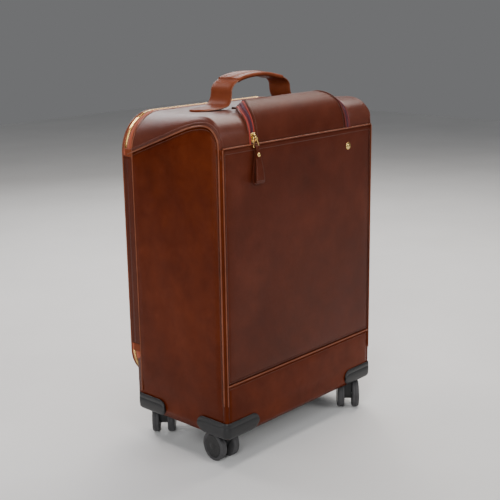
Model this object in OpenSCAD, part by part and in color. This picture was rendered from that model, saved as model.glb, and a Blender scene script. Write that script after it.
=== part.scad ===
// Rolling flight case: leather body with a rear zipped lid, a zipped flap on the top front edge,
// a telescopic handle and four twin-wheel casters. Front (slip pocket) faces -Y, the lid faces +Y.

/* [Case body] */
// Width of the case body across the side panels
case_w = 371.4; // [368:0.1:374]
// Height of the underside above the floor
base_z = 52.5; // [52:0.1:56]
// Height of the top over the front edge
crest_z = 557.7; // [556:0.1:559]
// Height of the top at the rear seam
rear_top_z = 551; // [550:0.1:552]
// Plane of the front wall behind the slip pocket
wall_y = -106; // [-107:0.1:-105]
// Plane of the rear seam, where the lid zip starts
rear_y = 96.5; // [95:0.1:97]
// Thickness of a covered wall
wall_t = 4; // [3.5:0.1:4.2]

/* [Slip pocket] */
// Outer plane of the slip pocket
face_y = -112.5; // [-113:0.1:-112]
// Thickness of the pocket leather
pocket_t = 1.9; // [1.5:0.1:2]
// Height of the pocket mouth
pocket_top_z = 511; // [500:0.5:511]
// Height of the lower front seam
seam_z = 140.5; // [130:0.5:160]

/* [Lid] */
// Depth of the zip band between the rear seam and the lid
zip_d = 13.5; // [12:0.1:13.6]
// Depth of the lid from its edge to its crown
lid_d = 10; // [8:0.1:10]
// Radius of the lid's top corners
lid_top_r = 62.5; // [50:0.5:62.5]
// Radius of the lid's bottom corners
lid_low_r = 55; // [45:1:56]
// Height of the lid's lower edge
lid_low_z = 97; // [94:1:99]

/* [Flap] */
// Half width of the flap at its hinge
flap_half_w = 110; // [108:0.5:110]
// Height of the flap's crest
flap_crest_z = 574; // [572:0.5:576]

/* [Carry handle] */
// Height of the handle's arch
arch_z = 608; // [604:0.5:610]
// Width of the handle strap
strap_w = 45; // [40:0.5:45]
// Half span of the handle's legs
leg_x = 72; // [70:0.5:74]

/* [Telescopic handle] */
// Half distance between the two tubes
tube_x = 50; // [46:1:54]
// Outer radius of the outer tube
tube_r = 9; // [9:0.1:9.1]
// Running clearance between nested tubes
tube_gap = 0.05; // [0.03:0.01:0.08]

/* [Casters] */
// Wheel radius
wheel_r = 24.5; // [24:0.1:24.5]
// Width of one wheel
wheel_w = 13; // [12:0.1:13]
// Width of the fork leg between the two wheels
leg_w = 12.5; // [12:0.1:12.8]
// Distance of a caster's stem from the case's sides
caster_inset = 28; // [27:0.5:32]
// Trail of the axle behind the stem
trail = 16; // [14:0.5:16]

/* [Hidden] */
$fn = 64;

leather = "#7a3f20";
leather_dark = "#5a2c1b";
leather_tan = "#94502c";
copper = "#a5603c";
zip_red = "#8a2f22";
brass = "#d8b45a";
black = "#1c1c1e";
steel = "#b9bcc0";
cloth = "#3b2a22";

half_w = case_w / 2;
side_in = half_w - wall_t;           // inner face of the side panels
edge_r = 10;                         // shoulder radius over the front edge
brow_r = 40;                         // radius of the front top edge in side view
brow_y = wall_y + brow_r;            // its centre
brow_z = crest_z - brow_r;
rear_r = 64;                         // shoulder radius at the rear seam
big = 400;                           // longer than the case in any direction

// Side view of the shoulder seam: it climbs from the rear seam to the brow and drops to the front.
seam_rear = [rear_y, rear_top_z - rear_r];
seam_front_z = pocket_top_z + 0.6;
seam_round_r = brow_r - edge_r;

// ---------- shared outlines ----------

// The case body as one closed form, shrunk inwards by g on all its outer faces.
module case_solid(g, y1 = rear_y) {
    hull() {
        for (s = [-1, 1]) {
            translate([s * (half_w - edge_r), brow_y, brow_z]) rotate([0, s * 90, 0])
                rotate_extrude($fn = 48) translate([brow_r - edge_r, 0]) circle(r = edge_r - g, $fn = 24);
            translate([s * (half_w - rear_r), y1, rear_top_z - rear_r]) rotate([90, 0, 0])
                cylinder(r = rear_r - g, h = 0.5, $fn = 48);
        }
        translate([-half_w + g, wall_y + g, base_z + g])
            cube([case_w - 2 * g, y1 - wall_y - g, pocket_top_z - base_z - g]);
    }
}

// Side panel outline in (y, z).
module side_outline() {
    polygon(concat(
        [[wall_y, base_z], [rear_y, base_z], seam_rear],
        [for (a = [90 : 10 : 180]) [brow_y + seam_round_r * cos(a), brow_z + seam_round_r * sin(a)]],
        [[wall_y, seam_front_z]]));
}

// Extrudes a (y, z) outline along X from x0 to x1.
module along_x(x0, x1) {
    translate([x0, 0, 0]) rotate([90, 0, 90]) linear_extrude(x1 - x0) children();
}

// Extrudes an (x, z) outline along Y from y0 to y1.
module along_y(y0, y1) {
    translate([0, y1, 0]) rotate([90, 0, 0]) linear_extrude(y1 - y0) children();
}

// Rounded outline of the lid in (x, z), shrunk by g.
lid_half_w = half_w - 1.5;
lid_top_z = rear_top_z - 1.5;
module lid_outline(g) {
    for (s = [-1, 1]) {
        translate([s * (lid_half_w - lid_top_r), lid_top_z - lid_top_r]) circle(r = lid_top_r - g, $fn = 96);
        translate([s * (lid_half_w - lid_low_r), lid_low_z + lid_low_r]) circle(r = lid_low_r - g, $fn = 96);
    }
    translate([-lid_half_w + g, lid_low_z + lid_low_r])
        square([2 * (lid_half_w - g), lid_top_z - lid_top_r - lid_low_z - lid_low_r]);
    translate([-lid_half_w + lid_top_r, lid_top_z - lid_top_r - 1])
        square([2 * (lid_half_w - lid_top_r), lid_top_r - g + 1]);
    translate([-lid_half_w + lid_low_r, lid_low_z + g])
        square([2 * (lid_half_w - lid_low_r), lid_low_r - g + 1]);
}

// The stretch of the lid's left edge where the hinge strip replaces the zip.
hinge_z0 = 165;
hinge_z1 = 482.5;
tab_l = 12;                          // length of a zip end tab
module left_edge(extra) {
    translate([-half_w - 5, hinge_z0 - extra]) square([20, hinge_z1 - hinge_z0 + 2 * extra]);
}

// ---------- case body ----------

module side_panel(s) {
    color(leather) along_x(s > 0 ? side_in : -half_w, s > 0 ? half_w : -side_in) side_outline();
}

module side_panel_left() {
    side_panel(-1);
}

module side_panel_right() {
    side_panel(1);
}

flap_open_half_w = 97;
flap_open_z = 520;
flap_open_y = -61;
well_half_w = 73;
well_y = [-56.5, -26.5];
module top_wrap() {
    color(leather_dark) difference() {
        case_solid(0);
        case_solid(wall_t, rear_y + 1);
        // below the pocket mouth, and inside the side panels' outline
        translate([-big / 2, -big / 2, 0]) cube([big, big / 2 + brow_y, seam_front_z]);
        translate([-big / 2, wall_y, 0]) cube([big, big, seam_rear[1]]);
        for (s = [-1, 1]) along_x(s > 0 ? side_in - 0.1 : -half_w - 1, s > 0 ? half_w + 1 : 0.1 - side_in)
            side_outline();
        // document compartment mouth and handle well
        translate([-flap_open_half_w, wall_y - 20, flap_open_z])
            cube([2 * flap_open_half_w, flap_open_y - wall_y + 20, 100]);
        translate([-well_half_w, well_y[0], 500]) cube([2 * well_half_w, well_y[1] - well_y[0], 100]);
    }
}

module front_wall() {
    color(cloth) translate([-side_in, wall_y, base_z + wall_t])
        cube([2 * side_in, wall_t, seam_front_z - base_z - wall_t]);
}

pocket_edge_w = 4.5;
module pocket_panel() {
    color(leather_dark) translate([-half_w, face_y, seam_z + 1.8])
        cube([case_w, pocket_t, pocket_top_z - seam_z - 1.8]);
}

module pocket_edges() {
    back_y = face_y + pocket_t;
    color(leather_dark) {
        for (x = [-half_w, half_w - pocket_edge_w])
            translate([x, back_y, seam_z + 1.8]) cube([pocket_edge_w, wall_y - back_y, pocket_top_z - seam_z - 1.8]);
        translate([-half_w + pocket_edge_w, back_y, seam_z + 1.8])
            cube([case_w - 2 * pocket_edge_w, wall_y - back_y, 4]);
    }
}

module lower_front_panel() {
    color(leather) translate([-half_w, face_y, base_z])
        cube([case_w, wall_y - face_y, seam_z - 1.8 - base_z]);
}

cord_r = 1.5;                        // radius of the piping cord
guard_top_z = 79;
module piping() {
    color(copper) {
        translate([0, face_y + 0.6, pocket_top_z + cord_r]) rotate([0, 90, 0])
            cylinder(r = cord_r, h = case_w - 4, center = true);
        translate([0, face_y + 1, seam_z]) rotate([0, 90, 0])
            cylinder(r = 1.8, h = case_w - 4, center = true);
        for (s = [-1, 1]) {
            x0 = s > 0 ? half_w : -half_w - 2.8;
            // band along the shoulder seam and down the front edge
            along_x(x0, x0 + 2.8) difference() {
                side_outline();
                translate([2.2, -2.2]) side_outline();
                translate([-200, 0]) square([400, guard_top_z + 25]);
            }
            // band along the rear seam
            translate([x0, rear_y - 2.8, 125]) cube([2.8, 2.6, 355]);
        }
    }
}

stud_x = 117.4;
stud_z = 482;
module snap_stud() {
    color(brass) translate([stud_x, face_y, stud_z]) rotate([90, 0, 0]) {
        cylinder(r = 6, h = 1.2);
        translate([0, 0, 1.2]) cylinder(r = 4.6, h = 1.6);
    }
}

boss_r = 13.7;
stem_r = 5;
function caster_at(i) = [
    (i % 2 == 0 ? -1 : 1) * (half_w - caster_inset),
    i < 2 ? face_y + caster_inset : rear_y - caster_inset
];
module base_board() {
    color(black) difference() {
        translate([-side_in, wall_y, base_z]) cube([2 * side_in, rear_y - wall_y, wall_t]);
        for (i = [0 : 3]) translate([caster_at(i)[0], caster_at(i)[1], base_z - 1]) cylinder(r = boss_r + 0.2, h = wall_t + 2);
    }
}

frame_rim = 14;
module rear_frame() {
    color(leather_dark) along_y(rear_y - wall_t, rear_y) difference() {
        union() {
            translate([-side_in, base_z + wall_t]) square([2 * side_in, rear_top_z - rear_r - base_z - wall_t]);
            for (s = [-1, 1]) translate([s * (half_w - rear_r), rear_top_z - rear_r])
                circle(r = rear_r - wall_t - 0.1, $fn = 96);
            translate([-half_w + rear_r, rear_top_z - rear_r - 1])
                square([case_w - 2 * rear_r, rear_r - wall_t + 0.9]);
        }
        lid_outline(frame_rim);
    }
}

tape_t = 2.2;                        // thickness of the zip band wall
half_zip = zip_d / 2 - 0.2;          // depth of one half of the zip band
lid_y = rear_y + zip_d;
module zip_half(y0, teeth_y) {
    color(zip_red) along_y(y0, y0 + half_zip) difference() {
        lid_outline(0);
        lid_outline(tape_t);
        left_edge(0.2);
    }
    color(brass) along_y(teeth_y, teeth_y + 1.7) difference() {
        lid_outline(-0.8);
        lid_outline(0.1);
        left_edge(tab_l + 1);
    }
}

module case_zip() {
    zip_half(rear_y, rear_y + half_zip - 1.7);
}

module lid_zip() {
    zip_half(lid_y - half_zip, lid_y - half_zip);
}

module zip_end_tabs() {
    color(leather_tan) for (z = [hinge_z0 - tab_l, hinge_z1])
        translate([-lid_half_w - 1.6, rear_y, z]) cube([1.6, half_zip, tab_l]);
}

strip_t = 2.2;
module strip_half(y0) {
    color(leather_dark) translate([-lid_half_w - 0.8, y0, hinge_z0]) cube([strip_t, half_zip, hinge_z1 - hinge_z0]);
}

module hinge_strip() {
    strip_half(rear_y);
}

module lid_hinge_strip() {
    strip_half(lid_y - half_zip);
}

channel_y = [-58.8, -26.2];          // front faces of the two walls beside the tubes
board_t = 2.2;
// An upright (x, z) outline with rounded top corners, grown inwards by g.
module arch_board(r, top_z, g = 0) {
    w = side_in - 0.3 - g;
    for (s = [-1, 1]) translate([s * (w + g - r), top_z - r]) circle(r = r - g, $fn = 96);
    translate([-w, base_z + wall_t + g]) square([2 * w, top_z - r - base_z - wall_t - g]);
    translate([-w - g + r, top_z - r - 1]) square([2 * (w + g - r), r - g + 1]);
}

module channel_walls() {
    color(cloth) {
        along_y(channel_y[0], channel_y[0] + board_t) arch_board(12, 552.5);
        along_y(channel_y[1], channel_y[1] + board_t) arch_board(26, 551.5);
    }
}

tube_y = (well_y[0] + well_y[1]) / 2;
well_floor_z = 550.5;
bezel_z = 559;
module handle_bezel() {
    color(black) difference() {
        translate([-well_half_w + 0.2, well_y[0] + 0.2, 546]) cube([2 * well_half_w - 0.4, well_y[1] - well_y[0] - 0.4, bezel_z - 546]);
        translate([-66.2, well_y[0] + 2.4, well_floor_z]) cube([132.4, well_y[1] - well_y[0] - 4.8, 20]);
        for (s = [-1, 1]) translate([s * tube_x, tube_y, 540]) cylinder(r = tube_r + 0.4, h = 20);
    }
}

tube_t = 1.1;
mid_r = tube_r - tube_t - tube_gap;
inner_r = mid_r - tube_t - tube_gap;
foot_z = base_z + wall_t;
tube_low_z = foot_z + 4;
module pair() {
    for (s = [-1, 1]) translate([s * tube_x, tube_y, 0]) children();
}

module tube(r, z0, z1) {
    translate([0, 0, z0]) difference() {
        cylinder(r = r, h = z1 - z0);
        translate([0, 0, -1]) cylinder(r = r - tube_t, h = z1 - z0 + 2);
    }
}

module outer_tubes() {
    color(steel) pair() tube(tube_r, tube_low_z, well_floor_z);
}

module tube_foot() {
    color(black) {
        translate([-tube_x - 14, tube_y - 12, foot_z]) cube([2 * tube_x + 28, 24, tube_low_z - foot_z]);
        pair() translate([0, 0, tube_low_z]) cylinder(r = tube_r - tube_t - 0.05, h = 6);
    }
}

guard_t = 2.2;
guard_arm = 72;
// One moulded corner guard with its caster housing, for the corner at the left front.
module guard_shape(side_arm) {
    x0 = -half_w - guard_t;
    y0 = face_y - guard_t;
    z0 = base_z - guard_t;
    difference() {
        union() {
            difference() {
                translate([x0, y0, z0]) cube([guard_arm + guard_t, side_arm + guard_t, guard_top_z - z0]);
                // the case itself, and the space behind the two arms
                translate([-half_w, face_y, base_z]) cube([big, big, big]);
                // sloping ends of the two arms
                along_y(y0 - 1, y0 + 2 * guard_t + 1) polygon([
                    [x0 + guard_arm - 12, guard_top_z + 1], [x0 + guard_arm + 1, base_z + 12],
                    [x0 + guard_arm + 4, base_z + 12], [x0 + guard_arm + 4, guard_top_z + 1]]);
                along_x(x0 - 1, x0 + 2 * guard_t + 1) polygon([
                    [y0 + side_arm - 12, guard_top_z + 1], [y0 + side_arm + 1, base_z + 12],
                    [y0 + side_arm + 4, base_z + 12], [y0 + side_arm + 4, guard_top_z + 1]]);
                // the sole is open beyond the housing
                translate([-half_w + 64, face_y + 64, z0 - 1]) cube([big, big, guard_t + 2]);
            }
            translate([-half_w + caster_inset, face_y + caster_inset, z0]) cylinder(r = boss_r, h = 27);
        }
        translate([-half_w + caster_inset, face_y + caster_inset, z0 - 1]) cylinder(r = stem_r + 0.05, h = 25);
        // rounded vertical corner
        difference() {
            translate([x0 - 1, y0 - 1, z0 - 1]) cube([7, 7, 40]);
            translate([x0 + 6, y0 + 6, z0 - 1]) cylinder(r = 6, h = 40);
        }
    }
}

module corner_guards() {
    color(black) for (s = [0, 1]) mirror([s, 0, 0]) {
        guard_shape(72);
        translate([0, rear_y + face_y, 0]) mirror([0, 1, 0]) guard_shape(66);
    }
}

strap_t = 4;
// Outline of the handle arch in (x, z), grown by g.
shoulder_r = 28;
arch_rise = 3;
module arch_outline(g) {
    cx = leg_x - shoulder_r;
    cap_r = (cx * cx + arch_rise * arch_rise) / (2 * arch_rise);
    shoulder_z = arch_z - arch_rise - shoulder_r;
    for (s = [-1, 1]) translate([s * cx, shoulder_z]) circle(r = shoulder_r + g, $fn = 96);
    translate([-leg_x - g, 500]) square([2 * (leg_x + g), shoulder_z - 500]);
    intersection() {
        translate([0, arch_z - cap_r]) circle(r = cap_r + g, $fn = 360);
        translate([-cx - 1.5, shoulder_z - 5]) square([2 * cx + 3, 2 * shoulder_r]);
    }
}

strap_y = -2.5;                      // centre of the strap
top_slope = atan((crest_z - rear_top_z) / (rear_y - brow_y));
function top_z_at(y) = crest_z - (y - brow_y) * tan(top_slope);
tab_x = 120;
// Puts its children on the sloping top, at the strap's centre line.
module on_top(x) {
    translate([x, strap_y, top_z_at(strap_y)]) rotate([-top_slope, 0, 0]) children();
}

module carry_handle() {
    tip_r = 16;
    tip_x = tab_x - leg_x - tip_r;
    color(leather_tan) difference() {
        union() {
            along_y(strap_y - strap_w / 2, strap_y + strap_w / 2) difference() {
                arch_outline(0);
                arch_outline(-strap_t);
            }
            for (s = [-1, 1]) on_top(s * leg_x) linear_extrude(3.2) {
                polygon([[-s * strap_t / 2, 0.7 - strap_w / 2], [-s * strap_t / 2, strap_w / 2 - 0.7],
                    [s * tip_x, tip_r - 0.3], [s * tip_x, 0.3 - tip_r]]);
                translate([s * tip_x, 0]) circle(r = tip_r);
            }
        }
        on_top(0) translate([-big / 2, -big / 2, -big / 2 + 0.1]) cube([big, big, big / 2]);
    }
}

grip_half = 54;
module grip_wrap() {
    color(leather_tan) difference() {
        along_y(strap_y - strap_w / 2 - 1.6, strap_y + strap_w / 2 + 1.6) intersection() {
            difference() {
                arch_outline(1.5);
                arch_outline(-strap_t - 2);
            }
            translate([-grip_half, 500]) square([2 * grip_half, 200]);
        }
        along_y(strap_y - strap_w / 2 - 0.05, strap_y + strap_w / 2 + 0.05) difference() {
            arch_outline(0.05);
            arch_outline(-strap_t - 0.05);
        }
    }
}

lining_t = 1.2;
module main_lining() {
    y0 = channel_y[1] + board_t + 0.2;
    color(cloth) difference() {
        along_y(y0, rear_y - wall_t - 0.2) arch_board(rear_r - 2, rear_top_z - wall_t - 0.5, 0.1);
        along_y(y0 + lining_t, rear_y + 1) arch_board(rear_r - 2, rear_top_z - wall_t - 0.5, 0.1 + lining_t);
        for (i = [2, 3]) translate([caster_at(i)[0], caster_at(i)[1], foot_z - 1]) cylinder(r = boss_r + 0.4, h = 25);
    }
}

// ---------- flap over the document compartment ----------

flap_hinge = [wall_y, 513];
flap_rear_y = -57.6;
flap_skin = 2.4;
bun_r = 15;                          // rounding of the flap's crest
module flap_solid(g) {
    hull() {
        translate([-flap_half_w + g, wall_y - 1 + g, 514.5]) cube([2 * (flap_half_w - g), 4, 1]);
        translate([-108 + g, wall_y - 3 + g, 530]) cube([2 * (108 - g), 4, 1]);
        translate([-104 + g, wall_y + 3.5 + g, 547]) cube([2 * (104 - g), 8, 1]);
        for (s = [-1, 1]) translate([s * 85, flap_rear_y - bun_r, flap_crest_z - bun_r])
            sphere(r = bun_r - g, $fn = 40);
        translate([-98, flap_rear_y - 6, 545]) cube([196, 6 - g, 8]);
    }
}

tape_half_w = 111.4;
module flap_panel() {
    color(leather_dark) difference() {
        flap_solid(0);
        flap_solid(flap_skin);
        case_solid(-0.5);
    }
}

module flap_zip() {
    color(zip_red) difference() {
        intersection() {
            case_solid(-2.3);
            for (s = [-1, 1]) translate([s > 0 ? 90 : -tape_half_w, -150, 531])
                cube([tape_half_w - 90, 150 + flap_rear_y, 60]);
        }
        case_solid(-0.5);
        flap_solid(-0.05);
    }
}

module flap_zip_case() {
    color(zip_red) difference() {
        intersection() {
            case_solid(-1.6);
            union() for (s = [-1, 1])
                translate([s > 0 ? tape_half_w + 0.5 : -123.5, -150, 516]) cube([123 - tape_half_w, 150 + flap_rear_y, 60]);
        }
        case_solid(-0.05);
    }
}

// The flap's slider runs round the brow of the case, about the brow's own axis.
slider_x = -117.5;
module at_brow(angle) {
    translate([slider_x, brow_y, brow_z]) rotate([-angle, 0, 0]) translate([0, -brow_r, 0]) children();
}

slide_a = 4;
module flap_slider() {
    color(brass) {
        along_x(slider_x - 4.6, slider_x + 4.6) intersection() {
            translate([brow_y, brow_z]) difference() {
                circle(r = brow_r + 3.4, $fn = 128);
                circle(r = brow_r + 2, $fn = 128);
            }
            translate([wall_y - 10, 513.5]) square([16, 15]);
        }
        // bail that holds the ring
        translate([slider_x, 0, 0]) for (s = [-3.2, 2])
            translate([s, face_y - 1.6, 519]) cube([1.2, wall_y - 2.6 - face_y + 1.6, 6]);
    }
}

ring_y = face_y - 4;
ring_z = 522;
ring_r = 1;
module flap_ring() {
    color(brass) translate([slider_x, ring_y, 0]) {
        translate([0, 0, ring_z]) rotate([0, 90, 0]) cylinder(r = ring_r, h = 14, center = true);
        translate([0, 0, 508]) rotate([0, 90, 0]) cylinder(r = ring_r, h = 14, center = true);
        for (s = [-1, 1]) translate([s * 6, 0, 508]) cylinder(r = ring_r, h = 14);
        // lug that reaches into the bail
        translate([-1.9, -0.8, ring_z - 0.5]) cube([3.8, 3.4, 1.8]);
    }
}

puller_low_z = 452;
module flap_puller() {
    color(leather_dark) translate([slider_x, ring_y, 0]) {
        difference() {
            union() {
                translate([-4.4, -3.4, 500]) cube([8.8, 6.8, 9.8]);
                along_y(-3.4, 3.4) polygon([[-5.4, 500], [5.4, 500], [10.5, puller_low_z + 4], [8.5, puller_low_z],
                    [-8.5, puller_low_z], [-10.5, puller_low_z + 4]]);
            }
            translate([0, 0, 508]) rotate([0, 90, 0]) cylinder(r = ring_r + 0.15, h = 30, center = true);
            translate([0, 5, 494.5]) rotate([90, 0, 0]) cylinder(r = 2.05, h = 10);
        }
    }
}

module puller_rivet() {
    color(brass) translate([slider_x, ring_y, 494.5]) rotate([90, 0, 0]) {
        translate([0, 0, -3.4]) cylinder(r = 2, h = 6.8);
        translate([0, 0, 3.4]) cylinder(r = 4, h = 0.9);
    }
}

// ---------- lid ----------

module lid_slab(g, y0, h) {
    for (s = [-1, 1]) {
        translate([s * (lid_half_w - lid_top_r), y0 + h, lid_top_z - lid_top_r]) rotate([90, 0, 0])
            cylinder(r = lid_top_r - g, h = h, $fn = 48);
        translate([s * (lid_half_w - lid_low_r), y0 + h, lid_low_z + lid_low_r]) rotate([90, 0, 0])
            cylinder(r = lid_low_r - g, h = h, $fn = 48);
    }
}

lid_skin = 2.6;
module lid_shell() {
    color(leather) difference() {
        hull() {
            lid_slab(0, lid_y, 3);
            lid_slab(4, lid_y, 6.4);
            lid_slab(20, lid_y, lid_d - 0.9);
            lid_slab(44, lid_y, lid_d);
        }
        hull() {
            lid_slab(lid_skin, lid_y - 1, 3.4);
            lid_slab(20, lid_y - 1, lid_d + 1 - 0.9 - lid_skin);
            lid_slab(44, lid_y - 1, lid_d + 1 - lid_skin);
        }
    }
}

module lid_piping() {
    color(copper) along_y(lid_y + 0.2, lid_y + 2.6) difference() {
        lid_outline(-1.6);
        lid_outline(-0.02);
        left_edge(0);
    }
}

module lid_lining() {
    color(cloth) along_y(lid_y + 0.2, lid_y + 1.4) lid_outline(lid_skin + 0.8);
}

module slider_body(z0, z1, bail_z) {
    color(brass) {
        translate([lid_half_w + 1.1, lid_y - zip_d / 2 - 4, z0]) cube([1.3, 8, z1 - z0]);
        for (s = [-3, 2]) translate([lid_half_w + 2.4, lid_y - zip_d / 2 + s, bail_z - 1.2]) cube([1.7, 1, 2.4]);
    }
}

module pull(bail_z, l) {
    color(brass) {
        translate([lid_half_w + 3.2, lid_y - zip_d / 2, bail_z]) rotate([90, 0, 0]) cylinder(r = 0.6, h = 3.6, center = true);
        translate([lid_half_w + 2.7, lid_y - zip_d / 2 - 1.8, bail_z - 4]) cube([1, 3.6, 4]);
        translate([lid_half_w + 2.7, lid_y - zip_d / 2 - 3.5, bail_z - l]) cube([1, 7, l - 3]);
    }
}

slider_z = 300;                      // where the two sliders meet
module upper_slider() {
    slider_body(slider_z + 0.2, slider_z + 12, slider_z + 9);
}

module upper_pull() {
    pull(slider_z + 9, 18);
}

module lower_slider() {
    slider_body(slider_z - 14, slider_z - 0.2, slider_z - 12.4);
}

module lower_pull() {
    pull(slider_z - 12.4, 32);
}

// ---------- telescopic handle ----------

collar_z = well_floor_z + 0.2;
grip_z = 552.6;
module mid_tubes() {
    color(steel) pair() tube(mid_r, tube_low_z + 8, collar_z + 1.7);
}

module tube_collars() {
    color(black) pair() translate([0, 0, collar_z]) difference() {
        cylinder(r = tube_r, h = 1.7);
        translate([0, 0, -1]) cylinder(r = mid_r + 0.02, h = 4);
    }
}

module inner_tubes() {
    color(steel) pair() tube(inner_r, tube_low_z + 16, grip_z + 5);
}

button_half = [13, 5.5];
module trolley_grip() {
    gy = (well_y[1] - well_y[0]) / 2 - 3;
    color(black) difference() {
        union() {
            translate([-65 + 4, tube_y - gy, grip_z]) cube([130 - 8, 2 * gy, 9.4]);
            for (s = [-1, 1]) translate([s * 61, tube_y - gy + 4, grip_z]) cylinder(r = 4, h = 9.4);
            for (s = [-1, 1]) translate([s * 61, tube_y + gy - 4, grip_z]) cylinder(r = 4, h = 9.4);
            translate([-65, tube_y - gy + 4, grip_z]) cube([130, 2 * gy - 8, 9.4]);
        }
        pair() translate([0, 0, grip_z - 1]) cylinder(r = inner_r + 0.02, h = 6);
        translate([-button_half[0], tube_y - button_half[1], grip_z + 2]) cube([2 * button_half[0], 2 * button_half[1], 20]);
    }
}

module release_button() {
    c = 0.35;
    color(steel) translate([-button_half[0] + c, tube_y - button_half[1] + c, grip_z + 5.6])
        cube([2 * (button_half[0] - c), 2 * (button_half[1] - c), 5]);
}

// ---------- casters ----------

// Rest direction of each caster's trail, as an angle from +X.
trail_angle = [84, 222, 43, 102];
axle_r = 2.5;
module caster_frame(i) {
    translate([caster_at(i)[0], caster_at(i)[1], 0]) rotate([0, 0, trail_angle[i]]) children();
}

module fork(i) {
    color(black) caster_frame(i) {
        difference() {
            translate([0, leg_w / 2, 0]) rotate([90, 0, 0]) linear_extrude(leg_w) {
                translate([trail, wheel_r]) circle(r = 10);
                polygon([[-9, 49.8], [-9, 42], [trail - 8.6, wheel_r - 5], [trail + 9.6, wheel_r + 3], [trail + 6, 49.8]]);
            }
            translate([trail, 0, wheel_r]) rotate([90, 0, 0]) cylinder(r = axle_r + 0.02, h = 40, center = true);
        }
        translate([0, 0, 49.8]) cylinder(r = stem_r, h = 23);
    }
}

module axle(i) {
    color(steel) caster_frame(i) translate([trail, 0, wheel_r]) rotate([90, 0, 0])
        cylinder(r = axle_r, h = leg_w + 0.9 + 2 * (wheel_w - 3), center = true);
}

wheel_in = leg_w / 2 + 0.45;
module wheel(i, s) {
    w = wheel_w;
    color(black) caster_frame(i) translate([trail, s * wheel_in, wheel_r]) rotate([s > 0 ? -90 : 90, 0, 0])
        rotate_extrude($fn = 96) polygon(concat(
            [[axle_r + 0.06, 0], [wheel_r - 3, 0]],
            [for (a = [-60 : 30 : 60]) [wheel_r - 3 + 3 * cos(a) , w / 2 + (w / 2 - 1) * sin(a) ]],
            [[wheel_r - 3, w], [wheel_r - 5, w], [wheel_r - 6, w - 1.2], [0, w - 0.6], [0, w - 2.6],
             [axle_r + 0.06, w - 2.6]]));
}

// ---------- nodes ----------

side_panel_left();
side_panel_right();
top_wrap();
front_wall();
pocket_panel();
pocket_edges();
lower_front_panel();
piping();
snap_stud();
base_board();
rear_frame();
case_zip();
zip_end_tabs();
hinge_strip();
channel_walls();
handle_bezel();
outer_tubes();
tube_foot();
corner_guards();
carry_handle();
grip_wrap();
main_lining();
flap_zip_case();
lid_shell();
lid_piping();
lid_zip();
lid_lining();
lid_hinge_strip();
upper_slider();
upper_pull();
lower_slider();
lower_pull();
flap_panel();
flap_zip();
flap_slider();
flap_ring();
flap_puller();
puller_rivet();
mid_tubes();
tube_collars();
inner_tubes();
trolley_grip();
release_button();
fork(0);  // fork_front_left
axle(0);  // axle_front_left
wheel(0, 1);  // wheel_front_left_in
wheel(0, -1);  // wheel_front_left_out
fork(1);  // fork_front_right
axle(1);  // axle_front_right
wheel(1, 1);  // wheel_front_right_in
wheel(1, -1);  // wheel_front_right_out
fork(2);  // fork_rear_left
axle(2);  // axle_rear_left
wheel(2, 1);  // wheel_rear_left_in
wheel(2, -1);  // wheel_rear_left_out
fork(3);  // fork_rear_right
axle(3);  // axle_rear_right
wheel(3, 1);  // wheel_rear_right_in
wheel(3, -1);  // wheel_rear_right_out
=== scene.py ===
"""Rolling flight case: leather skins, zips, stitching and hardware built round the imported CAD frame.

Lengths inside the builders are millimetres in the part's frame; mesh() turns them into metres.
"""
import math

import bpy
import numpy as np
from mathutils import Matrix, Vector


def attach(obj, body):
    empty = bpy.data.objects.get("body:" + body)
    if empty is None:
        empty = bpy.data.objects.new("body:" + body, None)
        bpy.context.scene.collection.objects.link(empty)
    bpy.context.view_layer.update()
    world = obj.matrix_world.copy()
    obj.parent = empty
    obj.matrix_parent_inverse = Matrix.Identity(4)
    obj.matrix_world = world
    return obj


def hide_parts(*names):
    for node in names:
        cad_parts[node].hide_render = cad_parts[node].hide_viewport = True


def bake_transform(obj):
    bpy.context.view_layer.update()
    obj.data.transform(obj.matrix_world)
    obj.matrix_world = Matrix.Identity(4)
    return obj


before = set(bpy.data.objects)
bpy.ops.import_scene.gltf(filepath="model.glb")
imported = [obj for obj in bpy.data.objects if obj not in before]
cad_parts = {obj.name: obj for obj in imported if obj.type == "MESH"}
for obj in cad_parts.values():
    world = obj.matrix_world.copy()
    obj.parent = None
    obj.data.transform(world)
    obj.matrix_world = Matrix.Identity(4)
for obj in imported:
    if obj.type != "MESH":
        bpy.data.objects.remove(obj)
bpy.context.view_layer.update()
MM = 0.001

# ---------------------------------------------------------------- driving sizes (mm)
HALF_W = 185.7
BASE_Z = 52.5
REAR_Y = 96.5
PIPE_Y = 87.0          # the piping seam in front of the main zip
FACE_Y = -112.5
POCKET_TOP_Z = 511.0
SEAM_Z = 140.5
CREST_Z = 557.7
REAR_TOP_Z = 550.6
SIDE_FRONT_Y = -107.3                  # the side panels' front seam
GUARD_TOP_Z = 84.0                     # below this the leather stays flat behind the corner guards
PIPE_LOW_Z = 108.0                     # the front piping's lower end
BROW_Y, BROW_Z = -66.5, 513.7          # centre of the rounded front top edge
REAR_R = 64.0
LID_Y = 110.0
LID_HALF_W = 184.2
LID_TOP_Z = 549.5
LID_LOW_Z = 97.0
LID_TOP_R = 62.5
LID_LOW_R = 55.0
HINGE_Z = (165.0, 482.5)
ZIP_Y = (REAR_Y + LID_Y) / 2           # where the two rows of the main zip's teeth meet


# ---------------------------------------------------------------- mesh helpers
def mesh(name, verts, faces, mats, smooth=True, mat_ids=None):
    """A new object from points in millimetres."""
    data = bpy.data.meshes.new(name)
    data.from_pydata([tuple(float(c) * MM for c in v) for v in verts], [], [tuple(f) for f in faces])
    for m in mats if isinstance(mats, (list, tuple)) else [mats]:
        data.materials.append(m)
    if mat_ids is not None:
        data.polygons.foreach_set("material_index", list(mat_ids))
    data.polygons.foreach_set("use_smooth", [smooth] * len(data.polygons))
    data.update()
    obj = bpy.data.objects.new(name, data)
    bpy.context.collection.objects.link(obj)
    return obj


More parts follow.
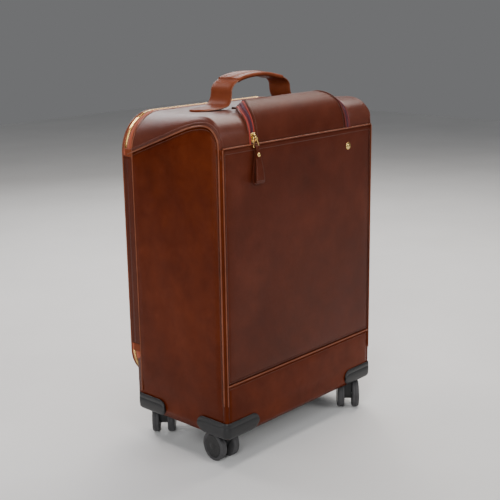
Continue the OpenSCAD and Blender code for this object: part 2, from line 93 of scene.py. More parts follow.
def select_only(*objs):
    """Selects these objects and makes the first one active."""
    bpy.ops.object.select_all(action="DESELECT")
    for obj in objs:
        obj.select_set(True)
    bpy.context.view_layer.objects.active = objs[0]


def fix_normals(obj):
    """Turns every face outwards."""
    select_only(obj)
    bpy.ops.object.mode_set(mode="EDIT")
    bpy.ops.mesh.select_all(action="SELECT")
    bpy.ops.mesh.normals_make_consistent(inside=False)
    bpy.ops.object.mode_set(mode="OBJECT")
    return obj


def grid_faces(rows, cols, close_rows=False, close_cols=False, skip=None):
    """Quads of a rows x cols point grid."""
    faces = []
    for i in range(rows if close_rows else rows - 1):
        for j in range(cols if close_cols else cols - 1):
            if skip and skip(i, j):
                continue
            i2, j2 = (i + 1) % rows, (j + 1) % cols
            faces.append((i * cols + j, i * cols + j2, i2 * cols + j2, i2 * cols + j))
    return faces


def tube_faces(rows, cols):
    """Quads of a closed tube of points, with a cap on each end."""
    last = (rows - 1) * cols
    caps = [tuple(range(cols))[::-1], tuple(last + j for j in range(cols))]
    return grid_faces(rows, cols, False, True) + caps


def skin(name, verts, faces, mat, thickness, centre=(0, 0, 300)):
    """A sheet of leather or tape that faces away from centre and is thickened inwards."""
    obj = mesh(name, verts, faces, mat)
    c = Vector(centre) * MM
    if sum((f.center - c).dot(f.normal) * f.area for f in obj.data.polygons) < 0:
        obj.data.flip_normals()
    mod = obj.modifiers.new("skin", "SOLIDIFY")
    mod.thickness = thickness * MM
    mod.offset = -1.0
    mod.use_even_offset = False
    return obj


def bevel(obj, width, segments=2, angle=35):
    mod = obj.modifiers.new("bevel", "BEVEL")
    mod.width = width * MM
    mod.segments = segments
    mod.limit_method = "ANGLE"
    mod.angle_limit = math.radians(angle)
    mod.harden_normals = False
    return obj


def apply_modifiers(obj):
    select_only(obj)
    for m in list(obj.modifiers):
        bpy.ops.object.modifier_apply(modifier=m.name)
    return obj


def slab(name, low, high, mat):
    """A closed slab between two outlines that have the same number of points."""
    n = len(low)
    faces = [tuple(range(n))[::-1], tuple(range(n, 2 * n))]
    faces += [(k, (k + 1) % n, n + (k + 1) % n, n + k) for k in range(n)]
    return fix_normals(mesh(name, low + high, faces, mat, smooth=False))


def place(obj, body, slot, *nodes):
    """Ties a finished piece to its body and hides the CAD nodes that it stands for; its colour slot is not
    used.
    """
    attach(obj, body)
    if nodes:
        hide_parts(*nodes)
    return obj


def unit(vectors):
    """Each row of an array scaled to length 1."""
    return vectors / (np.linalg.norm(vectors, axis=1)[:, None] + 1e-12)


def lengths_along(points):
    """The distance run from the first point to every point of a path."""
    return np.r_[0, np.cumsum(np.linalg.norm(np.diff(points, axis=0), axis=1))]


def frames_along(path, closed=False, up=None):
    """Points, tangents, normals and sides of a path, turned as little as possible or held to up."""
    p = np.array(path, float)
    t = unit(np.roll(p, -1, 0) - np.roll(p, 1, 0) if closed else np.gradient(p, axis=0))
    normals = []
    if up is not None:
        for k in range(len(p)):
            v = np.array(up[k] if np.ndim(up) == 2 else up, float)
            v = v - t[k] * (v @ t[k])
            normals.append(v / (np.linalg.norm(v) + 1e-12))
    else:
        v = np.cross(t[0], (0.3, 0.5, 0.8))
        v /= np.linalg.norm(v)
        for k in range(len(p)):
            v = v - t[k] * (v @ t[k])
            v /= np.linalg.norm(v)
            normals.append(v.copy())
    normals = np.array(normals)
    return p, t, normals, np.cross(t, normals)


def sweep(name, path, profile, mat, closed=False, up=None):
    """Sweeps a closed (side, normal) profile along a path."""
    p, _, nor, side = frames_along(path, closed, up)
    verts = [p[k] + side[k] * a + nor[k] * b for k in range(len(p)) for a, b in profile]
    rows, cols = len(p), len(profile)
    faces = grid_faces(rows, cols, True, True) if closed else tube_faces(rows, cols)
    return fix_normals(mesh(name, verts, faces, mat))


def tube(name, path, radius, mat, sides=10, closed=False):
    around = np.linspace(0, 2 * math.pi, sides, endpoint=False)
    return sweep(name, path, [(radius * math.cos(a), radius * math.sin(a)) for a in around], mat, closed)


def resample(path, step, closed=False):
    """Points a given distance apart along a path."""
    p = np.array(path, float)
    if closed:
        p = np.vstack([p, p[:1]])
    d = lengths_along(p)
    n = max(2, int(round(d[-1] / step)))
    s = np.linspace(0, d[-1], n, endpoint=not closed)
    return np.array([[np.interp(x, d, p[:, k]) for k in range(3)] for x in s])


def stitches(name, path, up, mat, pitch=4.0, length=2.7, radius=0.32, closed=False):
    """A row of thread stitches lying on a surface whose outward direction is up."""
    p, t, nor, side = frames_along(resample(path, pitch, closed), closed, up)
    verts, faces = [], []
    shape = [(-0.5, 0.35, -0.25), (-0.32, 1.0, 0.1), (0.32, 1.0, 0.1), (0.5, 0.35, -0.25)]
    sides, lift = 6, 0.12
    for k in range(len(p) - (0 if closed else 1)):
        faces += [tuple(len(verts) + i for i in f) for f in tube_faces(len(shape), sides)]
        for along, wide, drop in shape:
            for a in range(sides):
                ang = 2 * math.pi * a / sides
                verts.append(p[k] + t[k] * along * length + side[k] * radius * wide * math.cos(ang)
                             + nor[k] * (lift + radius * (drop + wide * math.sin(ang) * 0.8)))
    return mesh(name, verts, faces, mat)


def lathe(name, profile, centre, axis, mats, segments=64, mat_ids=None):
    """Turns an open (radius, along) profile about an axis."""
    axis = Vector(axis).normalized()
    u = axis.orthogonal().normalized()
    v = axis.cross(u)
    verts = []
    for r, h in profile:
        for k in range(segments):
            a = 2 * math.pi * k / segments
            verts.append(Vector(centre) + axis * h + (u * math.cos(a) + v * math.sin(a)) * max(r, 1e-4))
    ids = mat_ids and [i for i in mat_ids for _ in range(segments)]
    return mesh(name, verts, grid_faces(len(profile), segments, False, True), mats, mat_ids=ids)


def join(name, objs):
    """Joins objects with the same materials into one piece."""
    select_only(*objs)
    bpy.ops.object.join()
    objs[0].name = name
    objs[0].data.name = name
    return objs[0]


def smoothstep(x):
    x = np.clip(x, 0, 1)
    return x * x * (3 - 2 * x)


def wave(x, y, seed=0.0):
    """Soft undulation of hand-laid leather, about -1 to 1."""
    return (math.sin(x * 0.021 + seed) * math.cos(y * 0.017 + 1.7 * seed)
            + 0.5 * math.sin(x * 0.047 - y * 0.031 + 2.3 * seed)) / 1.5


# ---------------------------------------------------------------- materials
class Nodes:
    """Short names for building a node material."""

    def __init__(self, name):
        self.mat = bpy.data.materials.new(name)
        self.mat.use_nodes = True
        self.tree = self.mat.node_tree
        self.bsdf = self.tree.nodes["Principled BSDF"]
        self.coord = self.tree.nodes.new("ShaderNodeTexCoord").outputs["Object"]

    def new(self, kind, **values):
        node = self.tree.nodes.new("ShaderNode" + kind)
        for key, value in values.items():
            if hasattr(node, key):
                setattr(node, key, value)
            else:
                node.inputs[key].default_value = value
        return node

    def link(self, a, b):
        self.tree.links.new(a, b)

    def noise(self, scale, detail=3.0, rough=0.55, distort=0.0, stretch=(1, 1, 1)):
        node = self.new("TexNoise", Scale=scale, Detail=detail, Roughness=rough, Distortion=distort)
        mapping = self.new("Mapping", Scale=stretch)
        self.link(self.coord, mapping.inputs["Vector"])
        self.link(mapping.outputs["Vector"], node.inputs["Vector"])
        return node.outputs["Fac"]

    def voronoi(self, scale, feature, vector):
        node = self.new("TexVoronoi", feature=feature, Scale=scale)
        self.link(vector, node.inputs["Vector"])
        return node.outputs["Distance"]

    def ramp(self, source, stops):
        node = self.new("ValToRGB")
        ramp = node.color_ramp
        while len(ramp.elements) < len(stops):
            ramp.elements.new(0.5)
        for element, (position, colour) in zip(ramp.elements, stops):
            element.position = position
            element.color = (*colour, 1.0)
        self.link(source, node.inputs["Fac"])
        return node.outputs["Color"]

    def remap(self, source, low, high, from_low=0.0, from_high=1.0):
        node = self.new("MapRange", **{"From Min": from_low, "From Max": from_high,
                                       "To Min": low, "To Max": high})
        self.link(source, node.inputs["Value"])
        return node.outputs["Result"]

    def maths(self, operation, a, b):
        node = self.new("Math", operation=operation)
        for socket, value in zip(node.inputs, (a, b)):
            if isinstance(value, (int, float)):
                socket.default_value = value
            else:
                self.link(value, socket)
        return node.outputs["Value"]

    def mix(self, factor, a, b):
        node = self.new("Mix", data_type="RGBA")
        self.link(factor, node.inputs["Factor"])
        for key, value in (("A", a), ("B", b)):
            if isinstance(value, tuple):
                node.inputs[key].default_value = (*value, 1.0)
            else:
                self.link(value, node.inputs[key])
        return node.outputs["Result"]

    def bump(self, height, strength, distance_mm, after=None):
        node = self.new("Bump", Strength=strength, Distance=distance_mm * MM)
        self.link(height, node.inputs["Height"])
        if after is not None:
            self.link(after, node.inputs["Normal"])
        return node.outputs["Normal"]

    def finish(self, colour, roughness, normal=None, **sockets):
        for key, value in (("Base Color", colour), ("Roughness", roughness), ("Normal", normal)):
            if isinstance(value, float):
                self.bsdf.inputs[key].default_value = value
            elif value is not None:
                self.link(value, self.bsdf.inputs[key])
        for key, value in sockets.items():
            self.bsdf.inputs[key.replace("_", " ")].default_value = value
        return self.mat


def leather(name, dark, mid, light, pebble=900.0, depth=0.16, strength=0.5, rough=(0.34, 0.5), gloss=0.24,
            coat=0.12, fine=2600.0, crease=0.25, tint=(1.0, 0.60, 0.42, 1.0)):
    """Dyed leather: mottled colour, pebbled grain with painted shade in its grooves, hair creases and an
    uneven polish.
    """
    n = Nodes(name)
    cloud = n.noise(6.0, 5.0, 0.6, 0.6)
    patch = n.noise(36.0, 4.0, 0.6, 0.3)
    colour = n.ramp(n.remap(n.maths("ADD", cloud, n.maths("MULTIPLY", patch, 0.45)), 0, 1, 0.35, 1.05),
                    [(0.0, dark), (0.5, mid), (1.0, light)])
    warped = n.new("VectorMath", operation="ADD")
    wobble = n.new("TexNoise", Scale=pebble * 0.35)
    shift = n.new("VectorMath", operation="SCALE", Scale=0.9 / pebble)
    n.link(n.coord, wobble.inputs["Vector"])
    n.link(wobble.outputs["Color"], shift.inputs[0])
    n.link(n.coord, warped.inputs[0])
    n.link(shift.outputs[0], warped.inputs[1])
    cells = n.voronoi(pebble, "F1", warped.outputs[0])
    gaps = n.remap(n.voronoi(pebble, "DISTANCE_TO_EDGE", warped.outputs[0]), 0, 1, 0.0, 0.22)
    pores = n.noise(fine, 2.0, 0.6)
    hairline = n.noise(70.0, 6.0, 0.72, 1.6, (1.0, 1.0, 0.45))
    folds = n.remap(hairline, 0, 1, 0.47, 0.53)
    grain = n.maths("ADD", n.maths("MULTIPLY", gaps, 0.8), n.maths("MULTIPLY", cells, -0.35))
    height = n.bump(folds, 0.25 * crease, 0.5)
    height = n.bump(grain, strength, depth, height)
    height = n.bump(pores, strength * 0.5, depth * 0.45, height)
    # painted shade: the colour is darkened in the grain's grooves, where the bump sinks the surface
    groove_shade = n.mix(n.remap(gaps, 0.35, 0.0), colour, tuple(c * 0.55 for c in dark))
    polish = n.remap(n.maths("ADD", n.maths("MULTIPLY", patch, 0.6), n.maths("MULTIPLY", gaps, -0.35)),
                     rough[0], rough[1], 0.0, 0.6)
    return n.finish(groove_shade, polish, height, Specular_IOR_Level=gloss, Specular_Tint=tint,
                    Coat_Weight=coat, Coat_Roughness=0.22)


def woven(name, dark, light, threads=1400.0, rough=0.82, sheen=0.35):
    """Plain-woven cloth or tape."""
    n = Nodes(name)
    x = n.new("TexWave", wave_type="BANDS", bands_direction="DIAGONAL")
    y = n.new("TexWave", wave_type="BANDS", bands_direction="Z")
    for w in (x, y):
        w.inputs["Scale"].default_value = threads / 6.3
        w.inputs["Distortion"].default_value = 0.6
        n.link(n.coord, w.inputs["Vector"])
    weave = n.maths("MULTIPLY", x.outputs["Fac"], y.outputs["Fac"])
    colour = n.ramp(n.maths("ADD", n.maths("MULTIPLY", weave, 0.7), n.maths("MULTIPLY", n.noise(90, 3), 0.4)),
                    [(0.1, dark), (0.9, light)])
    return n.finish(colour, rough, n.bump(weave, 0.5, 0.12), Sheen_Weight=sheen, Sheen_Roughness=0.5)


def metal(name, colour, rough=(0.12, 0.26), scratches=0.05, grain=(1, 1, 1), scale=500):
    """Metal with fine marks and an uneven polish."""
    n = Nodes(name)
    marks = n.noise(scale, 6.0, 0.75, 0.4, grain)
    smear = n.noise(40, 3.0)
    tint = n.ramp(smear, [(0.3, tuple(c * 0.86 for c in colour)), (0.75, colour)])
    return n.finish(tint, n.remap(n.maths("ADD", marks, smear), rough[0], rough[1], 0.6, 1.4),
                    n.bump(marks, scratches, 0.05), Metallic=1.0)


def plastic(name, colour, rough=(0.38, 0.5), grain=2200.0, strength=0.12):
    """Moulded plastic with a fine spark-eroded grain."""
    n = Nodes(name)
    texture = n.noise(grain, 3.0, 0.6)
    wear = n.noise(30, 4.0)
    tint = n.ramp(wear, [(0.3, tuple(c * 0.8 for c in colour)), (0.8, tuple(c * 1.35 for c in colour))])
    return n.finish(tint, n.remap(n.maths("ADD", texture, wear), rough[0], rough[1], 0.6, 1.4),
                    n.bump(texture, strength, 0.08), Specular_IOR_Level=0.45)


def rubber(name, colour):
    n = Nodes(name)
    dust = n.noise(55, 6.0, 0.7, 0.5)
    speck = n.noise(1500, 3.0)
    tint = n.ramp(dust, [(0.35, colour), (0.8, tuple(c * 2.1 + 0.004 for c in colour))])
    return n.finish(tint, n.remap(dust, 0.55, 0.8), n.bump(speck, 0.2, 0.08))


SIDE = leather("leather_side", (0.044, 0.0052, 0.0009), (0.090, 0.0120, 0.0019), (0.138, 0.0220, 0.0040),
               pebble=1500, depth=0.05, strength=0.22, rough=(0.26, 0.42), gloss=0.12, coat=0.02, fine=3800,
               crease=0.35)
DARK = leather("leather_pocket", (0.040, 0.0064, 0.0026), (0.077, 0.0134, 0.0058), (0.120, 0.0250, 0.0118),
               pebble=760, depth=0.16, strength=0.50, rough=(0.36, 0.52), gloss=0.17, coat=0.04)
TOP = leather("leather_top", (0.048, 0.0085, 0.0036), (0.094, 0.0190, 0.0085), (0.142, 0.0350, 0.0165),
              pebble=820, depth=0.14, strength=0.42, rough=(0.30, 0.45), gloss=0.32, coat=0.06,
              tint=(1.0, 0.82, 0.80, 1.0))
STRAP = leather("leather_strap", (0.095, 0.0190, 0.0072), (0.185, 0.0420, 0.0165), (0.270, 0.072, 0.031),
                pebble=1700, depth=0.05, strength=0.2, rough=(0.38, 0.54), gloss=0.09, coat=0.02, fine=4200)
# the piping is lighter than the panel leather: partly its own colour, partly a painted highlight along the
# cords
CORD = leather("piping_leather", (0.105, 0.026, 0.0115), (0.195, 0.056, 0.0260), (0.290, 0.096, 0.048),
               pebble=1900, depth=0.04, strength=0.2, rough=(0.26, 0.40), gloss=0.32, coat=0.22, fine=4200)
EDGE_PAINT = leather("painted_edge", (0.150, 0.050, 0.026), (0.230, 0.085, 0.048), (0.320, 0.13, 0.08),
                     pebble=2600, depth=0.03, strength=0.15, rough=(0.22, 0.34), gloss=0.32, coat=0.4)
RED_TAPE = woven("zip_tape_red", (0.230, 0.020, 0.012), (0.580, 0.060, 0.032), 1500, sheen=0.1)
WINE_TAPE = woven("zip_tape_wine", (0.080, 0.008, 0.010), (0.230, 0.024, 0.026), 1500, sheen=0.08)
COPPER_TAPE = woven("zip_tape_copper", (0.210, 0.036, 0.012), (0.540, 0.110, 0.040), 1500, sheen=0.12)
LINING = woven("lining_cloth", (0.060, 0.038, 0.028), (0.120, 0.080, 0.060), 1000)
BRASS = metal("brass", (0.86, 0.60, 0.22))
COIL = plastic("zip_coil", (0.100, 0.030, 0.055), (0.3, 0.42))
ALLOY = metal("tube_alloy", (0.62, 0.63, 0.65), (0.22, 0.36), 0.12, (1, 1, 0.02), 900)
STEEL = metal("axle_steel", (0.52, 0.52, 0.54))
CHROME = metal("button_metal", (0.72, 0.72, 0.74), (0.14, 0.24))
BLACK = plastic("black_plastic", (0.0095, 0.0095, 0.0105))
BROWN = plastic("brown_plastic", (0.058, 0.0160, 0.0080), (0.45, 0.58))
GLOSS_BLACK = plastic("wheel_disc", (0.0055, 0.0055, 0.006), (0.22, 0.34), 2600, 0.06)
RUBBER = rubber("wheel_rubber", (0.034, 0.033, 0.035))
THREAD = woven("thread", (0.075, 0.022, 0.011), (0.150, 0.050, 0.026), 3000, 0.6)


# ---------------------------------------------------------------- the shell's curves
def super_arc(angle, a, b, power):
    """Point of a superellipse quarter round the brow's centre, from the front (0) to the top (90 degrees)."""
    c, s = abs(math.cos(angle)), abs(math.sin(angle))
    return (BROW_Y - a * c ** (2 / power), BROW_Z + b * s ** (2 / power))


BROW_TURNS = 16
BROW_START_Z = 507.0
STRAIGHT_Y = [-61.0, -56.5, -48.0, -38.0, -26.5, -14.0, 0.0, 16.0, 32.0, 48.0, 64.0, 78.0, 88.0, 94.0, 96.5]
SEAM_A, SEAM_B, SEAM_POWER = 40.8, 33.7, 2.1
CROWN_A, CROWN_POWER = 44.0, 2.4


def stations():
    """(seam point, crown point, shoulder radius) along the shell from the pocket's mouth to the rear seam."""
    out = [((BROW_Y - SEAM_A, BROW_START_Z), (BROW_Y - CROWN_A - 0.4, BROW_START_Z), 4.5)]
    for k in range(BROW_TURNS + 1):
        a = math.radians(90) * k / BROW_TURNS
        f = smoothstep(k / BROW_TURNS)
        out.append((super_arc(a, SEAM_A, SEAM_B, SEAM_POWER),
                    super_arc(a, CROWN_A, CREST_Z - BROW_Z, CROWN_POWER),
                    4.5 + 5.5 * f))
    seam_top, seam_low = BROW_Z + SEAM_B, REAR_TOP_Z - REAR_R
    for y in STRAIGHT_Y:
        f = (y - BROW_Y) / (REAR_Y - BROW_Y)
        out.append(((y, seam_top + (seam_low - seam_top) * f), (y, CREST_Z + (REAR_TOP_Z - CREST_Z) * f),
                    10 + (REAR_R - 10) * f))
    # ease the seam from the brow's curve into its straight run
    first, last = 1 + BROW_TURNS // 2, 2 + BROW_TURNS + STRAIGHT_Y.index(-26.5)
    a, b = np.array(out[first][0]), np.array(out[last][0])
    before = a - np.array(out[first - 1][0])
    after = np.array(out[last + 1][0]) - b
    m = np.linalg.solve(np.array([before, -after]).T, b - a)
    corner = a + before * m[0]
    for k in range(first, last):
        t = (k - first) / (last - first)
        p = a * (1 - t) ** 2 + corner * 2 * t * (1 - t) + b * t ** 2
        out[k] = (tuple(p), out[k][1], out[k][2])
    return out


STATIONS = stations()
FILLET = 12
MOUTH_X, WELL_X = 91.0, 73.0           # half widths of the openings under the flap and round the handle
FLAT_X = [-MOUTH_X, -82.0, -WELL_X, -48.0, -24.0, 0.0, 24.0, 48.0, WELL_X, 82.0, MOUTH_X]


def top_z(y):
    """Height of the shell's top at y, behind the brow."""
    f = (y - BROW_Y) / (REAR_Y - BROW_Y)
    return CREST_Z + (REAR_TOP_Z - CREST_Z) * f


def seam_path(side, out=0.0, shift=0.0):
    """The shoulder seam on one side, pushed outwards by out, and shift millimetres up its own plane."""
    pts = np.array([(side * (HALF_W + out), s[0][0], s[0][1]) for s in STATIONS])
    if shift:
        t = unit(np.gradient(pts, axis=0))
        pts = pts + np.stack([np.zeros(len(t)), -t[:, 2], t[:, 1]], 1) * shift
    return pts


def seam_z(y):
    """Height of the shoulder seam at y."""
    return float(np.interp(y, [s[0][0] for s in STATIONS[1:]], [s[0][1] for s in STATIONS[1:]]))


def shoulder_point(side, station, angle):
    """A point on the rounded shoulder, from the side seam (0) to the crown (90 degrees)."""
    (sy, sz), (cy, cz), r = station
    up = math.sin(angle)
    return (side * (HALF_W - r + r * math.cos(angle)), sy + (cy - sy) * up, sz + (cz - sz) * up)


# ---------------------------------------------------------------- case body skins
def build_top_wrap():
    """The wrap over the shoulders, open under the flap and over the telescopic handle's well."""
    rows = []
    for st in STATIONS:
        _, (cy, cz), r = st
        edge = HALF_W - r
        row = [shoulder_point(-1, st, math.radians(90) * k / FILLET) for k in range(FILLET)]
        mirrored = [(-x, y, z) for x, y, z in row[::-1]]
        for x in [-edge, -(edge + MOUTH_X) / 2] + FLAT_X + [(edge + MOUTH_X) / 2, edge]:
            row.append((x, cy, cz + 0.35 * wave(x, cy * 2, 0.8) * smoothstep((r - 6) / 10)))
        rows.append(row + mirrored)
    column = {x: FILLET + 2 + k for k, x in enumerate(FLAT_X)}
    row_at = {y: 2 + BROW_TURNS + k for k, y in enumerate(STRAIGHT_Y)}
    brow_first = next(i for i, s in enumerate(STATIONS) if s[1][1] > 521)

    def skip(i, j):
        mouth = brow_first <= i < row_at[-61.0] and column[-MOUTH_X] <= j < column[MOUTH_X]
        well = row_at[-56.5] <= i < row_at[-26.5] and column[-WELL_X] <= j < column[WELL_X]
        return mouth or well

    verts = [p for row in rows for p in row]
    obj = skin("top_wrap_leather", verts, grid_faces(len(rows), len(rows[0]), skip=skip), TOP, 2.0)
    place(obj, "case", "leather_dark", "top_wrap")


def build_side(side, name):
    ys = np.r_[np.linspace(SIDE_FRONT_Y, BROW_Y, 14), np.linspace(-60, REAR_Y, 22)]
    rows = 34
    verts = []
    for i in range(rows):
        for y in ys:
            top = seam_z(y) if y > SIDE_FRONT_Y + 0.1 else POCKET_TOP_Z
            z = BASE_Z + (top - BASE_Z) * i / (rows - 1)
            edge = min(y - SIDE_FRONT_Y, REAR_Y - y, (top - z) * 0.9)
            low = smoothstep((z - 82) / 30)
            puff = -0.9 + 1.9 * smoothstep(edge / 16) * low
            puff += 0.35 * wave(y * 2, z, side) * smoothstep(edge / 30) * low
            verts.append((side * (HALF_W + (min(puff, 0.0) if z < GUARD_TOP_Z else puff)), y, z))
    obj = skin("side_leather_" + name, verts, grid_faces(rows, len(ys)), SIDE, 2.0)
    place(obj, "case", "leather_side", "side_panel_" + name)


def front_panel(name, z0, z1, mat, slot, node, puff, seed, rows, hold_low=0.0):
    """An upright front panel, puffed between its sewn edges and held flat behind the corner guards."""
    half, cols = 182.4, 40
    verts = []
    for z in np.linspace(z0, z1, rows):
        for x in np.linspace(-half, half, cols):
            s = smoothstep(min(half - abs(x), z - z0, z1 - z) / 14)
            rise = -0.5 + (0.5 + puff) * s + 0.35 * wave(x, z, seed) * s
            verts.append((x, FACE_Y - (min(rise, 0.15) if z < hold_low else rise), z))
    place(skin(name, verts, grid_faces(rows, cols), mat, 1.6), "case", slot, node)


def build_front():
    front_panel("slip_pocket_leather", SEAM_Z + 1.2, POCKET_TOP_Z + 0.6, DARK, "leather_dark", "pocket_panel",
                0.9, 2.1, 48)
    front_panel("lower_front_leather", BASE_Z, SEAM_Z - 1.2, SIDE, "leather_side", "lower_front_panel",
                0.6, 4.4, 16, GUARD_TOP_Z)
    # corner bands between the side panels and the front
    bands = []
    for s in (-1, 1):
        outline = [(s * (HALF_W - 0.2), -103.0), (s * (HALF_W - 0.1), -106.2)]
        outline += [(s * (HALF_W - 4.6 + 4.6 * math.cos(a)), -107.4 - 4.9 * math.sin(a))
                    for a in np.radians(np.arange(0, 91, 15))]
        outline += [(s * 179.6, FACE_Y + 0.3), (s * 179.4, FACE_Y + 3.5)]
        zs = np.linspace(BASE_Z, 511.5, 24)
        verts = [(x, y, z) for z in zs for x, y in outline]
        bands.append(skin("band", verts, grid_faces(len(zs), len(outline)), SIDE, 1.4))
    place(join("front_corner_bands", bands), "case", "leather_side", "pocket_edges")


def build_piping():
    parts = []
    radius = REAR_R - 2.5
    rear_top = top_z(PIPE_Y)
    for s in (-1, 1):
        down = [(s * (HALF_W + 0.4), SIDE_FRONT_Y, z) for z in np.linspace(PIPE_LOW_Z, BROW_START_Z - 2, 60)]
        parts.append(tube("pipe", np.vstack([down, resample(seam_path(s, 0.4), 3.0)]), 1.3, CORD))
        front = [(s * 182.6, FACE_Y - 0.35, z) for z in np.linspace(PIPE_LOW_Z, POCKET_TOP_Z, 60)]
        parts.append(tube("pipe", front, 1.0, CORD))
        rear = [(s * (HALF_W + 0.1), PIPE_Y, z) for z in np.linspace(GUARD_TOP_Z, REAR_TOP_Z - REAR_R, 50)]
        arc = [(s * (HALF_W - radius + radius * math.cos(a)), PIPE_Y,
                rear_top - radius + radius * math.sin(a))
               for a in np.radians(np.linspace(3, 90, 24))]
        top = [(x * s, PIPE_Y, rear_top + 0.1) for x in np.linspace(HALF_W - radius - 4, 0, 24)]
        parts.append(tube("pipe", rear + arc + top, 1.15, CORD))
    for z, r, y in ((POCKET_TOP_Z + 1.2, 1.25, FACE_Y + 0.3), (SEAM_Z, 1.35, FACE_Y + 0.1)):
        bar = [(x, y - 0.15 * math.sin(math.pi * (x + 182) / 364), z) for x in np.linspace(-182.2, 182.2, 70)]
        parts.append(tube("pipe", bar, r, CORD))
    place(join("piping_cords", parts), "case", "piping_leather", "piping")


def build_seam_fold():
    """The wrap's turned edge: a second, softer ridge beside each shoulder seam."""
    gap = 5.2
    ridges = []
    for side in (-1, 1):
        line = [shoulder_point(side, st, math.asin(gap / max(gap, math.dist(st[0], st[1]))))
                for st in STATIONS[1:]]
        ridges.append(tube("ridge", resample(line, 3.0), 1.25, TOP))
    place(join("shoulder_seam_fold", ridges), "case", "leather_dark")


def build_case_stitching():
    y = FACE_Y - 0.25
    across = ((POCKET_TOP_Z - 7, 0.1, 0.5), (SEAM_Z + 5, 0.15, 0.2), (SEAM_Z - 5, 0.15, 0.2))
    lines = [([(-178, y - end, z), (0, y - middle, z), (178, y - end, z)], (0, -1, 0))
             for z, end, middle in across]
    for s in (-1, 1):
        lines += [([(s * 178.6, y, SEAM_Z + 6), (s * 178.6, y, POCKET_TOP_Z - 5)], (0, -1, 0)),
                  (resample(seam_path(s, 0.35, -4.6)[1:], 2.0), (s, 0, 0)),
                  ([(s * (HALF_W + 0.35), -102.6, z) for z in np.linspace(110, 505, 30)], (s, 0, 0))]
    rows = [stitches("s", line, out, THREAD) for line, out in lines]
    place(join("case_stitching", rows), "case", "piping_leather")


def build_stud():
    profile = [(0, 2.9), (1.4, 2.85), (2.8, 2.55), (3.9, 1.9), (4.4, 1.35), (4.75, 1.25), (5.3, 1.45),
               (5.9, 1.05), (6.1, 0.4), (6.0, -0.2)]
    obj = lathe("snap_stud_brass", profile, (117.4, FACE_Y - 0.5, 482), (0, -1, 0), BRASS, 48)
    place(obj, "case", "brass", "snap_stud")


# ---------------------------------------------------------------- lid outline and zips
def lid_outline(g, side_n=26, arc_n=14):
    """The lid's rounded outline in (x, z), shrunk by g, from the middle of its right side, going up."""
    w = LID_HALF_W - g
    top, low = LID_TOP_Z - g, LID_LOW_Z + g
    rt, rl = max(LID_TOP_R - g, 5.0), max(LID_LOW_R - g, 5.0)
    mid = (LID_TOP_Z - LID_TOP_R + LID_LOW_Z + LID_LOW_R) / 2
    pts = []

    def line(a, b, n):
        for k in range(n):
            pts.append((a[0] + (b[0] - a[0]) * k / n, a[1] + (b[1] - a[1]) * k / n))

    def arc(cx, cz, r, a0, a1, n):
        for k in range(n):
            a = math.radians(a0 + (a1 - a0) * k / n)
            pts.append((cx + r * math.cos(a), cz + r * math.sin(a)))

    line((w, mid), (w, top - rt), side_n // 2)
    arc(w - rt, top - rt, rt, 0, 90, arc_n)
    line((w - rt, top), (rt - w, top), side_n)
    arc(rt - w, top - rt, rt, 90, 180, arc_n)
    line((-w, top - rt), (-w, low + rl), side_n)
    arc(rl - w, low + rl, rl, 180, 270, arc_n)
    line((rl - w, low), (w - rl, low), side_n)
    arc(w - rl, low + rl, rl, 270, 360, arc_n)
    line((w, low + rl), (w, mid), side_n // 2)
    return pts


def zip_run(g, step=3.0):
    """The zip's open run round the lid, from the lower to the upper end, with outward directions."""
    pts = np.array([(x, 0.0, z) for x, z in lid_outline(g)])
    fine = resample(pts, step, closed=True)
    keep = [not (p[0] < -LID_HALF_W + g + 1 and HINGE_Z[0] < p[2] < HINGE_Z[1]) for p in fine]
    first = next(k for k in range(len(fine)) if keep[k] and not keep[k - 1])
    run = np.array([fine[(first + k) % len(fine)] for k in range(sum(keep))])
    t = unit(np.gradient(run, axis=0))
    out = np.stack([t[:, 2], np.zeros(len(t)), -t[:, 0]], 1)
    mid = run.mean(0)
    if np.sum((run - mid) * out) < 0:
        out = -out
    return run, out


def ribbon(name, run, out, profile, body, node):
    """A band of zip tape that follows the zip's run; profile is (y, outward) pairs."""
    verts = [(p[0] + o[0] * h, y, p[2] + o[2] * h) for p, o in zip(run, out) for y, h in profile]
    obj = skin(name, verts, grid_faces(len(run), len(profile)), COPPER_TAPE, 0.8,
               (0, (profile[0][0] + profile[-1][0]) / 2, 320))
    place(obj, body, "zip_tape", node)


def tooth(verts, faces, centre, along, out, y_dir):
    """One metal tooth: a block with a narrower top and a rounded nose."""
    faces += [tuple(len(verts) + i for i in f) for f in tube_faces(3, 6)]
    for h, wide, deep in ((-0.5, 0.62, 1.9), (0.55, 0.62, 1.9), (0.95, 0.42, 1.45)):
        for sa, sy in ((-1, -1), (1, -1), (1, 0.75), (0.45, 1), (-0.45, 1), (-1, 0.75)):
            verts.append(centre + along * sa * wide + np.array((0, y_dir * sy * deep, 0)) + out * h)


